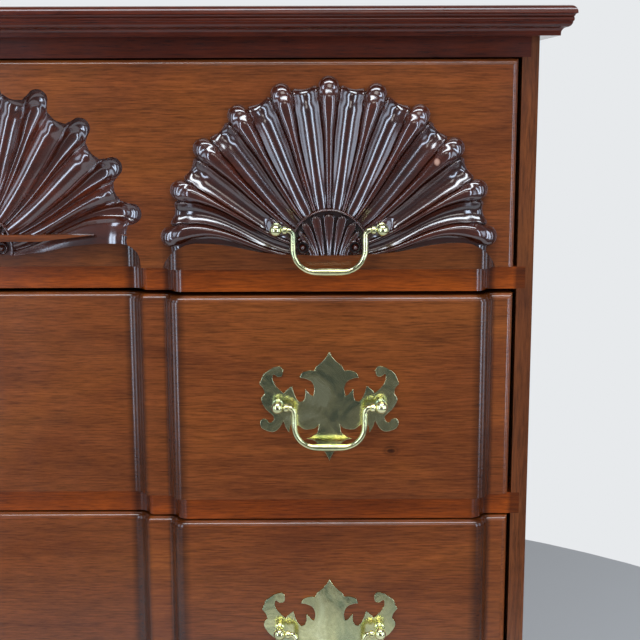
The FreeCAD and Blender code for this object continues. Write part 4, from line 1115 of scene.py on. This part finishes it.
def petal_height(x, z):
    """Share of full height on the petals, and 0 between them; x and z are in millimetres."""
    best = 0
    floor = PALMETTE_FLOOR / MM
    for foot, top, narrow, wide, height, bend in PETALS:
        up = (z + floor) / (height + floor)
        if 0 <= up < 1:
            middle = foot + (top - foot) * up**bend
            half = narrow + (wide - narrow) * up
            off = abs(x - middle) / half
            tip = dome(max(0, z + floor - height), PETAL_TIP)
            if off < tip:
                crown = math.sqrt(1 - (off / tip) ** PETAL_SHOULDER)
                best = max(best, crown * (0.7 + 0.3 * tip) * (0.80 + 0.20 * (off / tip) ** 2))
    return best


def palmette_height(x, z, reach):
    """Height of the petals, the arch over them and the volutes at its feet."""
    height = GROUND + PETAL_RISE * petal_height(abs(x) / MM, z / MM)
    arch = settings().shells.arch
    away = abs(reach - arch)
    if away < ARCH_HALF:
        height = max(height, ARCH_FOOT + ARCH_RISE * dome(away, ARCH_HALF))
    elif reach > arch:
        height = ARCH_FOOT
    curl = math.hypot(abs(x) - VOLUTE[0], z - VOLUTE[1]) / MM
    if curl < EYE:
        height = EYE_FOOT + EYE_RISE * dome(curl, EYE)
    elif curl < CURL_START:
        height = GROUND
    elif curl < CURL + CURL_HALF:
        height = max(height, GROUND + CURL_RISE * dome(curl - CURL, CURL_HALF))
    bead = math.hypot(abs(x) - BEAD_PLACE[0], z - BEAD_PLACE[1]) / MM
    if bead < BEAD:
        height = max(height, BEAD_FOOT + BEAD_RISE * dome(bead, BEAD))
    return height


def palmette_mesh(bm, fan, middle, back_y):
    """Half round palmette under the fan."""
    outer = settings().shells.arch + PALMETTE_EDGE
    columns, rows = 250, 90

    def place(column, row):
        angle = math.pi * column / columns
        sine, cosine = math.sin(angle), math.cos(angle)
        edge = PALMETTE_FLOOR * sine + math.sqrt(outer**2 - (PALMETTE_FLOOR * cosine) ** 2)
        out = PALMETTE_HOLE + (edge - PALMETTE_HOLE) * row / rows
        x, z = out * cosine, out * sine - PALMETTE_FLOOR
        height = palmette_height(x, z, math.hypot(x, z))
        y = FLAT_Y - height if fan.raised else FLAT_Y + CARVING_DEPTH - SUNK_SHARE * height
        return Vector((middle.x + x, y, middle.z + z))

    close_back(bm, sheet(bm, columns, rows, place), back_y)


def stub_mesh(bm, fan, middle, run, low_z, back_y):
    """The block's own run under a shell, with a top edge that follows the lowest ribs."""
    rows = 6

    def place(column, row):
        point = run[column]
        top = middle.z + fan.base_height(point.x - middle.x)
        return Vector((point.x, point.y, low_z + (top - low_z) * row / rows))

    close_back(bm, sheet(bm, len(run) - 1, rows, place), back_y)


def filled_run(points, most=0.006):
    """The run with long steps divided, so that an edge can follow a curve."""
    filled = [points[0]]
    for near, far in zip(points, points[1:]):
        parts = max(1, math.ceil((far - near).length / most))
        filled += [near.lerp(far, part / parts) for part in range(1, parts + 1)]
    return filled


# Depths behind the flats: the backs of the raised and the sunk carving, and the sunk one's pocket
RAISED_BACK, SUNK_BACK, POCKET_DEPTH = 0.0003, 0.0134, 0.0135
POCKET_OVERSHOOT = 0.01


def shell_middle(x):
    """Centre of the fan on the block at a distance from the chest's middle."""
    low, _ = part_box("drawer_1_front")
    return Vector((x, FLAT_Y, low.z + settings().shells.rise))


def sunk_middle():
    """Centre of the sunk fan."""
    return shell_middle(0) - Vector((0, 0, settings().shells.sunk_drop))


def raised_run():
    """Plan of the right block under its shell, across the whole block."""
    face, flat, _, _ = block_limits(0)
    left = ogee(flat_point(BLOCK_X - flat, FLAT_Y), flat_point(BLOCK_X - face, BLOCK_Y))
    right = ogee(flat_point(BLOCK_X + flat, FLAT_Y), flat_point(BLOCK_X + face, BLOCK_Y))[::-1]
    return filled_run(left + right)


def sunk_run():
    """Plan of the sunk block under the middle shell."""
    _, _, arris, sunk = block_limits(0)
    sunk_y = FLAT_Y + settings().blocking.sunk_relief
    right = ogee(flat_point(BLOCK_X - arris, FLAT_Y), flat_point(BLOCK_X - sunk, sunk_y))[::-1]
    left = [flat_point(-point.x, point.y) for point in reversed(right)]
    return filled_run(left + right)


def finish_shell(piece, node):
    finish_piece(piece, "drawer_1", finish_for("carved"), [node], CARVED_CREASE)


def finish_stub(piece):
    finish_piece(piece, "drawer_1", finish_for("stub"), [])


class CHEST_OT_shells(bpy.types.Operator):
    """Add the two raised shells and the sunk one between them"""

    bl_idname = "chest.shells"
    bl_label = "Carved shells"

    def execute(self, context):
        low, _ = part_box("drawer_1_front")
        pulls = settings().pulls
        behind = FLAT_Y + RAISED_BACK
        raised, sunk = Fan(1), Fan(-1)
        for side, sign in SIDES:
            middle = shell_middle(BLOCK_X)
            height = PIVOTS["drawer_1_bail_right"].z - middle.z
            seats = [(pulls.boring / 2, height), (-pulls.boring / 2, height)]
            bm, stub = new_mesh(), new_mesh()
            fan_mesh(bm, raised, middle, seats, behind)
            palmette_mesh(bm, raised, middle, behind)
            stub_mesh(stub, raised, middle, raised_run(), low.z, behind)
            if sign < 0:
                mirror_over(bm)
                mirror_over(stub)
            finish_shell(to_object(bm, f"raised_shell_{side}"), f"shell_{side}")
            finish_stub(to_object(stub, f"raised_block_{side}"))
        middle = sunk_middle()
        bottom = FLAT_Y + SUNK_BACK
        bm, stub = new_mesh(), new_mesh()
        fan_mesh(bm, sunk, middle, [], bottom)
        palmette_mesh(bm, sunk, middle, bottom)
        stub_mesh(stub, sunk, middle, sunk_run(), low.z, bottom)
        finish_shell(to_object(bm, "sunk_shell"), "shell_centre")
        finish_stub(to_object(stub, "sunk_block"))
        return {"FINISHED"}


def both_halves(right):
    """Closed outline from the points of its right half."""
    return right + [flat_point(-point.x, point.y) for point in reversed(right) if point.x > MERGE]


def fan_outline(middle):
    """Scalloped outline of the sunk shell, in elevation."""
    fan = Fan(-1)
    columns = fan.columns()
    right = []
    for rib, step, skirt in columns[: len(columns) // 2 + 1]:
        if not skirt:
            rim = fan.rim_reach(abs(step))
            angle = fan.bent_angle(rib + step * settings().shells.pitch / 2, rim)
            right.append(flat_point(middle.x + rim * math.cos(angle), middle.z + rim * math.sin(angle)))
    return both_halves(right)


# Where the stub's pocket leaves the lower edge, and its way up into the fan, in millimetres
POCKET_EDGE = 115
POCKET_SHOULDER = (116.4, 1.6), (113.6, 3.0), (113.0, 6), (113.6, 10), (100, 12), (50, 6)
POCKET_BELOW = 0.002


def stub_outline(middle, low_z):
    """Outline of the sunk block's run under the shell, up to within the fan."""
    _, _, arris, _ = block_limits(0)
    right = [flat_point(BLOCK_X - arris, low_z - POCKET_BELOW)]
    edge = tuple(point for point in SUNK_BASE_LINE[::-1] if point[0] > POCKET_EDGE)
    right += [flat_point(x * MM, middle.z + z * MM) for x, z in edge + POCKET_SHOULDER]
    return both_halves(right)


class CHEST_OT_top_front(bpy.types.Operator):
    """Add the top drawer's flat front, with the pocket of the sunk shell"""

    bl_idname = "chest.top_front"
    bl_label = "Top drawer front"

    def execute(self, context):
        low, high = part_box("drawer_1_front")
        bm = new_mesh()
        front_mesh(bm, low.z, high.z, False)
        piece = to_object(bm, "drawer_1_flat_front")
        cut_sockets(piece, 1)
        middle = sunk_middle()
        for outline in (fan_outline(middle), stub_outline(middle, low.z)):
            pocket = new_mesh()
            depths = FLAT_Y - POCKET_OVERSHOOT, FLAT_Y + POCKET_DEPTH
            loft(pocket, [[Vector((point.x, y, point.y)) for point in outline] for y in depths])
            carve(piece, pocket)
        finish_piece(piece, "drawer_1", finish_for("plain"), ["drawer_1_front"])
        return {"FINISHED"}


# ---------------------------------------------------------------- pulls

# Right half of a back plate in millimetres about the posts' line; the third entry marks a crisp point
PLATE_OUTLINE = (
    (0, 39.4, 1), (1.6, 36.4, 0), (4.6, 32.6, 0), (9.5, 28.2, 0), (11.0, 25.1, 1), (14.8, 25.3, 0),
    (19.6, 23.8, 0), (21.8, 19.9, 1), (17.8, 19.3, 0), (13.1, 16.9, 0), (11.0, 11.7, 0), (11.8, 6.0, 1),
    (14.2, 7.3, 0), (17.8, 11.5, 1), (17.8, 6.4, 0), (19.0, 2.8, 0), (22.0, 1.5, 1), (25.0, 5.4, 0),
    (27.8, 13.6, 1), (31.6, 10.4, 0), (33.4, 7.9, 1), (38.8, 13.0, 0), (41.7, 18.1, 0), (41.2, 22.5, 0),
    (38.2, 20.6, 1), (35.2, 21.0, 0), (34.0, 24.4, 0), (35.0, 27.6, 0), (37.5, 28.6, 0),
    (42.4, 27.0, 0), (48.4, 22.5, 0), (50.2, 18.1, 0), (51.7, 15.6, 1), (48.6, 11.4, 0), (47.7, 7.9, 1),
    (50.2, 4.1, 0), (49.5, 0.3, 0), (46.0, -4.8, 0), (41.7, -8.7, 0), (41.2, -12.4, 0),
    (44.2, -14.3, 0), (46.0, -11.8, 1), (49.5, -11.2, 0), (51.3, -14.9, 0), (49.5, -18.8, 0),
    (42.4, -21.3, 0), (37.5, -18.8, 0), (34.0, -13.0, 1), (32.4, -17.6, 0), (29.8, -22.0, 1),
    (29.4, -18.6, 0), (28.6, -15.6, 1), (23.2, -16.2, 0), (18.4, -19.4, 0), (11.3, -18.8, 0),
    (7.7, -15.6, 1), (8.2, -18.8, 0), (8.9, -22.0, 1), (13.4, -25.2, 0), (17.2, -26.4, 1),
    (10.4, -28.6, 0), (4.0, -35.9, 0), (1.2, -40.8, 0), (0, -43.6, 1),
)


def curved_outline(marked, steps=4):
    """Outline through points, bent smoothly at those that aren't crisp."""
    points = [flat_point(x, z) for x, z, _ in marked]
    crisp = [mark for _, _, mark in marked]
    outline = [points[0]]
    for number in range(len(points) - 1):
        start, end = points[number], points[number + 1]
        leave = (end - start) if crisp[number] else (end - points[number - 1]) * 0.5
        arrive = (end - start) if crisp[number + 1] else (points[number + 2] - start) * 0.5
        for step in range(1, steps + 1):
            t = step / steps
            a, b = 2 * t**3 - 3 * t**2 + 1, t**3 - 2 * t**2 + t
            c, d = -2 * t**3 + 3 * t**2, t**3 - t**2
            outline.append(start * a + leave * b + end * c + arrive * d)
    return outline


PLATE_BEVEL = 0.0006


def plate_mesh(bm, centre):
    """Back plate with a bevelled face, flat against the block."""
    right = curved_outline(PLATE_OUTLINE)
    whole = right + [flat_point(-point.x, point.y) for point in right[-2:0:-1]]
    thickness = settings().pulls.plate
    points = [bm.verts.new((centre.x + p.x * MM, BLOCK_Y, centre.z + p.y * MM)) for p in whole]
    back = bm.faces.new(points)
    grown = bmesh.ops.extrude_face_region(bm, geom=[back])
    bmesh.ops.translate(bm, vec=(0, -thickness, 0), verts=fresh(grown, bmesh.types.BMVert))
    face = fresh(grown, bmesh.types.BMFace)[0]
    bmesh.ops.bevel(
        bm, geom=face.edges[:], offset=PLATE_BEVEL, offset_type="OFFSET", affect="EDGES",
        segments=2, profile=0.5, material=-1, clamp_overlap=True,
    )


class CHEST_OT_back_plates(bpy.types.Operator):
    """Add the brass back plates of the three blocked drawers"""

    bl_idname = "chest.back_plates"
    bl_label = "Back plates"

    def execute(self, context):
        for number in DRAWERS[1:]:
            bm = new_mesh()
            for side, _ in SIDES:
                plate_mesh(bm, PIVOTS[f"drawer_{number}_bail_{side}"])
            piece = to_object(bm, f"drawer_{number}_plates")
            nodes = [f"drawer_{number}_back_plates"]
            finish_piece(piece, f"drawer_{number}", finish_for("brass"), nodes, PLATE_CREASE)
        return {"FINISHED"}


def turned(bm, profile, centre, segments=28):
    """Turned piece about a line that runs forwards; the profile gives radius and place along it."""
    points = [bm.verts.new((centre.x + radius, centre.y - along, centre.z)) for radius, along in profile]
    edges = [bm.edges.new(pair) for pair in zip(points, points[1:])]
    bmesh.ops.spin(
        bm, geom=points + edges, cent=centre, axis=(0, 1, 0), angle=math.tau,
        steps=segments, use_merge=True, use_duplicate=False,
    )


# Steps along a turned post
BOLT_OUT, BOLT_CHAMFER = 0.0052, 0.0004
COLLAR_EDGE, COLLAR_ROUND = 0.0007, 0.0009
NECK_FOOT, NECK_FILLET, NECK_FLARE, NECK_TOP = 0.0019, 0.0008, 0.0006, 0.0003
# Neck of the frame's plainer posts, whose balls reach forwards no further than its edge lets them
FRAME_NECK = 0.0025
NUT_RADIUS, NUT_HEIGHT = 0.0046, 0.0032


def post_profile(base):
    """Radius and distance forwards from the pivot's line, from the drawer's inside to the ball's front."""
    sizes = settings().pulls
    pivot_y = PIVOTS["drawer_1_bail_right"].y
    back = pivot_y - FRONT_BACK_Y - BOLT_OUT
    seat = pivot_y - base
    profile = [(0, back), (sizes.shank * 0.8, back), (sizes.shank, back + BOLT_CHAMFER)]
    profile += [(sizes.shank, seat), (sizes.collar, seat)]
    for turn in quarter(4):
        radius = sizes.collar - COLLAR_ROUND * (1 - math.cos(turn))
        profile.append((radius, seat + COLLAR_EDGE + COLLAR_ROUND * math.sin(turn)))
    neck = seat + NECK_FOOT
    start = math.asin(sizes.neck / sizes.ball)
    neck_end = -sizes.ball * math.cos(start) - NECK_TOP
    profile += [(sizes.neck + NECK_FLARE, neck), (sizes.neck, neck + NECK_FILLET), (sizes.neck, neck_end)]
    front = math.sqrt(sizes.ball**2 - FRAME_NECK**2)
    for step in range(15):
        turn = start + (math.pi - start) * step / 14
        reach = sizes.ball if turn < math.pi / 2 else front
        profile.append((max(0, sizes.ball * math.sin(turn)), -reach * math.cos(turn)))
    return profile


def nut_mesh(bm, centre):
    """Six-sided nut against the drawer front's inside."""
    made = bmesh.ops.create_circle(bm, segments=6, radius=NUT_RADIUS, cap_ends=True)["verts"]
    bmesh.ops.rotate(bm, verts=made, cent=(0, 0, 0), matrix=Matrix.Rotation(math.pi / 2, 3, "X"))
    bmesh.ops.translate(bm, verts=made, vec=(centre.x, FRONT_BACK_Y, centre.z))
    face = made[0].link_faces[0]
    grown = bmesh.ops.extrude_face_region(bm, geom=[face])
    bmesh.ops.translate(bm, vec=(0, NUT_HEIGHT, 0), verts=fresh(grown, bmesh.types.BMVert))


class CHEST_OT_posts(bpy.types.Operator):
    """Add the turned brass posts with their bolts and nuts"""

    bl_idname = "chest.posts"
    bl_label = "Pull posts"

    def execute(self, context):
        sizes = settings().pulls
        for number in DRAWERS:
            bm = new_mesh()
            base = BLOCK_Y if number == 1 else BLOCK_Y - sizes.plate
            for side, _ in SIDES:
                pivot = PIVOTS[f"drawer_{number}_bail_{side}"]
                for offset in (-sizes.boring / 2, sizes.boring / 2):
                    centre = pivot + Vector((offset, 0, 0))
                    turned(bm, post_profile(base), centre)
                    nut_mesh(bm, centre)
            piece = to_object(bm, f"drawer_{number}_posts")
            nodes = [f"drawer_{number}_pull_posts"]
            finish_piece(piece, f"drawer_{number}", finish_for("brass"), nodes, POST_CREASE)
        return {"FINISHED"}


def grip_radius(x):
    """Radius of a bail's grip at a distance from its middle."""
    sizes = settings().pulls
    share = max(0, 1 - (x / sizes.swell_half) ** 2)
    return sizes.rod + (sizes.swell - sizes.rod) * share


def bar_ring(centre, heading, radius, sides=20):
    """Ring of corners round a bar that runs along heading in the pull's plane."""
    across = Vector((0, 1, 0))
    other = heading.cross(across)
    turns = [math.tau * corner / sides for corner in range(sides)]
    return [centre + (across * math.cos(turn) + other * math.sin(turn)) * radius for turn in turns]


PIN_RADIUS = 0.0012
KNUCKLE_GAP, KNUCKLE_ROUND = 0.0004, 0.0007


def bail_stations():
    """Centre, heading and radius down the right half of a bail, from its pin to the grip's middle."""
    sizes = settings().pulls
    inwards, down = Vector((-1, 0, 0)), Vector((0, 0, -1))
    knuckle = sizes.boring / 2 - sizes.ball - KNUCKLE_GAP
    shoulder_x = sizes.leg_half + sizes.shoulder
    stations = [(Vector((x, 0, 0)), inwards, PIN_RADIUS) for x in (sizes.boring / 2, knuckle)]
    for turn in quarter(4):
        centre = Vector((knuckle - KNUCKLE_ROUND * (1 - math.cos(turn)), 0, 0))
        stations.append((centre, inwards, sizes.knuckle - KNUCKLE_ROUND * (1 - math.sin(turn))))
    stations.append((Vector((shoulder_x + KNUCKLE_ROUND, 0, 0)), inwards, sizes.knuckle))
    for turn in quarter(8):
        outwards = Vector((-math.sin(turn), 0, math.cos(turn)))
        centre = Vector((shoulder_x, 0, -sizes.shoulder)) + outwards * sizes.shoulder
        stations.append((centre, inwards * math.cos(turn) + down * math.sin(turn), sizes.rod))
    corner = Vector((sizes.leg_half - sizes.corner, 0, sizes.corner - sizes.drop))
    for turn in quarter(12):
        outwards = Vector((math.cos(turn), 0, -math.sin(turn)))
        centre = corner + outwards * sizes.corner
        stations.append((centre, down * math.cos(turn) + inwards * math.sin(turn), grip_radius(centre.x)))
    for x in (0.0075, 0.005, 0.0025, 0):
        stations.append((Vector((x, 0, -sizes.drop)), inwards, grip_radius(x)))
    return stations


class CHEST_OT_bails(bpy.types.Operator):
    """Add the swinging bails"""

    bl_idname = "chest.bails"
    bl_label = "Bails"

    def execute(self, context):
        for number in DRAWERS:
            for side, _ in SIDES:
                name = f"drawer_{number}_bail_{side}"
                right = bail_stations()
                left = [(Vector((-c.x, 0, c.z)), Vector((h.x, 0, -h.z)), r) for c, h, r in right[-2::-1]]
                bm = new_mesh()
                loft(bm, [bar_ring(PIVOTS[name] + c, h, r) for c, h, r in right + left])
                piece = to_object(bm, f"{name}_bar")
                finish_piece(piece, name, finish_for("brass"), [name], BAIL_CREASE)
        return {"FINISHED"}


# ---------------------------------------------------------------- CAD nodes' finishes and the stage

BOARD_FINISHES = {
    "case z": ("side_panel_left", "side_panel_right", "side_facings"),
    # painted shadow: the frieze rail takes the top's darker finish for the shadow under the top's overhang
    "top": ("top_rail",),
    "secondary x": ("bottom_board", "dust_panels", "drawer_stops"),
    "secondary y": ("drawer_runners", "top_kickers"),
    "secondary z": ("back_panel", "foot_blocks"),
}


class CHEST_OT_board_finishes(bpy.types.Operator):
    """Give the plain boards of the case and the drawers their finishes"""

    bl_idname = "chest.board_finishes"
    bl_label = "Board finishes"

    def execute(self, context):
        finishes = {node: name for name, nodes in BOARD_FINISHES.items() for node in nodes}
        for number in DRAWERS:
            for part, axis in (("side_left", "y"), ("side_right", "y"), ("back", "x"), ("bottom", "x")):
                finishes[f"drawer_{number}_{part}"] = f"secondary {axis}"
        for node, name in finishes.items():
            piece = frame["nodes"][node]
            piece.data.materials.clear()
            piece.data.materials.append(finish_for(name))
        return {"FINISHED"}


CAMERA_PLACE = (0.252, -1.1111, 0.8062)
CAMERA_LENS = 68.6
CAMERA_DOWN, CAMERA_HEADING, CAMERA_ROLL = math.radians(10.5), math.radians(-0.15), -0.003
FLOOR_RADIUS = 1.2
ROOM_DARK, ROOM_BRIGHT = (0.10, 0.105, 0.12, 1), (0.80, 0.82, 0.84, 1)
WARM, COOL, SKY = (1.0, 0.98, 0.95), (0.84, 0.92, 1.0), (0.66, 0.80, 1.0)


def area_light(name, place, aim, size, power, colour):
    """Soft rectangular lamp that faces a point."""
    light = bpy.data.lights.new(name, "AREA")
    light.shape, light.size, light.size_y = "RECTANGLE", size[0], size[1]
    light.energy, light.color = power, colour
    lamp = bpy.data.objects.new(name, light)
    bpy.context.scene.collection.objects.link(lamp)
    lamp.location = place
    lamp.rotation_euler = (Vector(aim) - Vector(place)).to_track_quat("-Z", "Y").to_euler()


class CHEST_OT_stage(bpy.types.Operator):
    """Add the floor, the lights, the world and the camera"""

    bl_idname = "chest.stage"
    bl_label = "Stage"

    def execute(self, context):
        scene = bpy.context.scene
        bm = bmesh.new()
        bmesh.ops.create_circle(bm, segments=96, radius=FLOOR_RADIUS, cap_ends=True)
        mesh = bpy.data.meshes.new("floor")
        bm.to_mesh(mesh)
        bm.free()
        floor = bpy.data.objects.new("floor", mesh)
        scene.collection.objects.link(floor)
        finish = Finish("floor")
        colour = tuple(settings().colours.floor)
        soft = finish.noise((2, 2, 2), detail=2)
        finish.colour(finish.ramp(soft, [(0.3, shade(colour, 0.985)), (0.7, colour)]))
        finish.set(Roughness=0.8, Specular_IOR_Level=0.1)
        mesh.materials.append(finish.material)

        world = bpy.data.worlds.new("studio")
        world.use_nodes = True
        nodes, links = world.node_tree.nodes, world.node_tree.links
        direction = nodes.new("ShaderNodeTexCoord")
        parts = nodes.new("ShaderNodeSeparateXYZ")
        links.new(direction.outputs["Generated"], parts.inputs["Vector"])
        ramp = nodes.new("ShaderNodeValToRGB")
        spread = nodes.new("ShaderNodeMapRange")
        spread.inputs["From Min"].default_value = -1
        links.new(parts.outputs["Y"], spread.inputs["Value"])
        links.new(spread.outputs["Result"], ramp.inputs["Fac"])
        first, last = ramp.color_ramp.elements
        first.position, first.color = 0.62, ROOM_DARK
        last.position, last.color = 0.90, ROOM_BRIGHT
        links.new(ramp.outputs["Color"], nodes["Background"].inputs["Color"])
        scene.world = world

        area_light("overhead softbox", (0.25, -1.0, 2.05), (0.15, -0.25, 0.62), (1.6, 0.40), 24, COOL)
        area_light("front fill", (0.5, -3.2, 1.9), (0.1, -0.2, 0.6), (1.0, 0.6), 6, WARM)
        for name, x, y, width, power in (
            ("left", -0.80, -1.75, 0.26, 12.5), ("right", 1.30, -1.75, 0.26, 12.5),
            ("far left", -1.45, -0.95, 0.50, 7), ("far right", 1.90, -0.95, 0.50, 7),
        ):
            area_light(f"{name} window", (x, y, 0.78), (0.25, -0.2, 0.60), (width, 1.5), power, SKY)

        camera = bpy.data.cameras.new("camera")
        camera.sensor_width = 36
        camera.lens = CAMERA_LENS
        holder = bpy.data.objects.new("camera", camera)
        scene.collection.objects.link(holder)
        turn = Matrix.Rotation(CAMERA_HEADING, 4, "Z") @ Matrix.Rotation(math.pi / 2 - CAMERA_DOWN, 4, "X")
        turn = turn @ Matrix.Rotation(CAMERA_ROLL, 4, "Z")
        holder.matrix_world = Matrix.Translation(CAMERA_PLACE) @ turn
        scene.camera = holder
        scene.view_settings.view_transform = "Standard"
        return {"FINISHED"}


OPERATORS = (
    CHEST_OT_top_board,
    CHEST_OT_rails,
    CHEST_OT_base,
    CHEST_OT_feet,
    CHEST_OT_blocked_fronts,
    CHEST_OT_top_front,
    CHEST_OT_shells,
    CHEST_OT_back_plates,
    CHEST_OT_posts,
    CHEST_OT_bails,
    CHEST_OT_board_finishes,
    CHEST_OT_stage,
)


class CHEST_PT_sidebar(bpy.types.Panel):
    """Lists the chest's pieces and sizes"""

    bl_idname = "CHEST_PT_sidebar"
    bl_label = "Block front chest"
    bl_space_type = "VIEW_3D"
    bl_region_type = "UI"
    bl_category = "Chest"

    def draw(self, context):
        chest = context.scene.chest
        for operator in OPERATORS:
            self.layout.operator(operator.bl_idname)
        for group in ("blocking", "mouldings", "feet", "shells", "pulls", "colours"):
            values = getattr(chest, group)
            box = self.layout.box()
            box.label(text=group.capitalize())
            for name in values.__annotations__:
                box.prop(values, name)


GROUPS = (BlockingSizes, MouldingSizes, FootSizes, ShellSizes, PullSizes, FinishColours, ChestSettings)
CLASSES = GROUPS + OPERATORS + (CHEST_PT_sidebar,)


def register():
    for item in CLASSES:
        bpy.utils.register_class(item)
    bpy.types.Scene.chest = PointerProperty(type=ChestSettings)


def unregister():
    del bpy.types.Scene.chest
    for item in reversed(CLASSES):
        bpy.utils.unregister_class(item)


def main():
    register()
    for operator in OPERATORS:
        group, _, name = operator.bl_idname.partition(".")
        getattr(getattr(bpy.ops, group), name)()


if __name__ == "__main__":
    main()
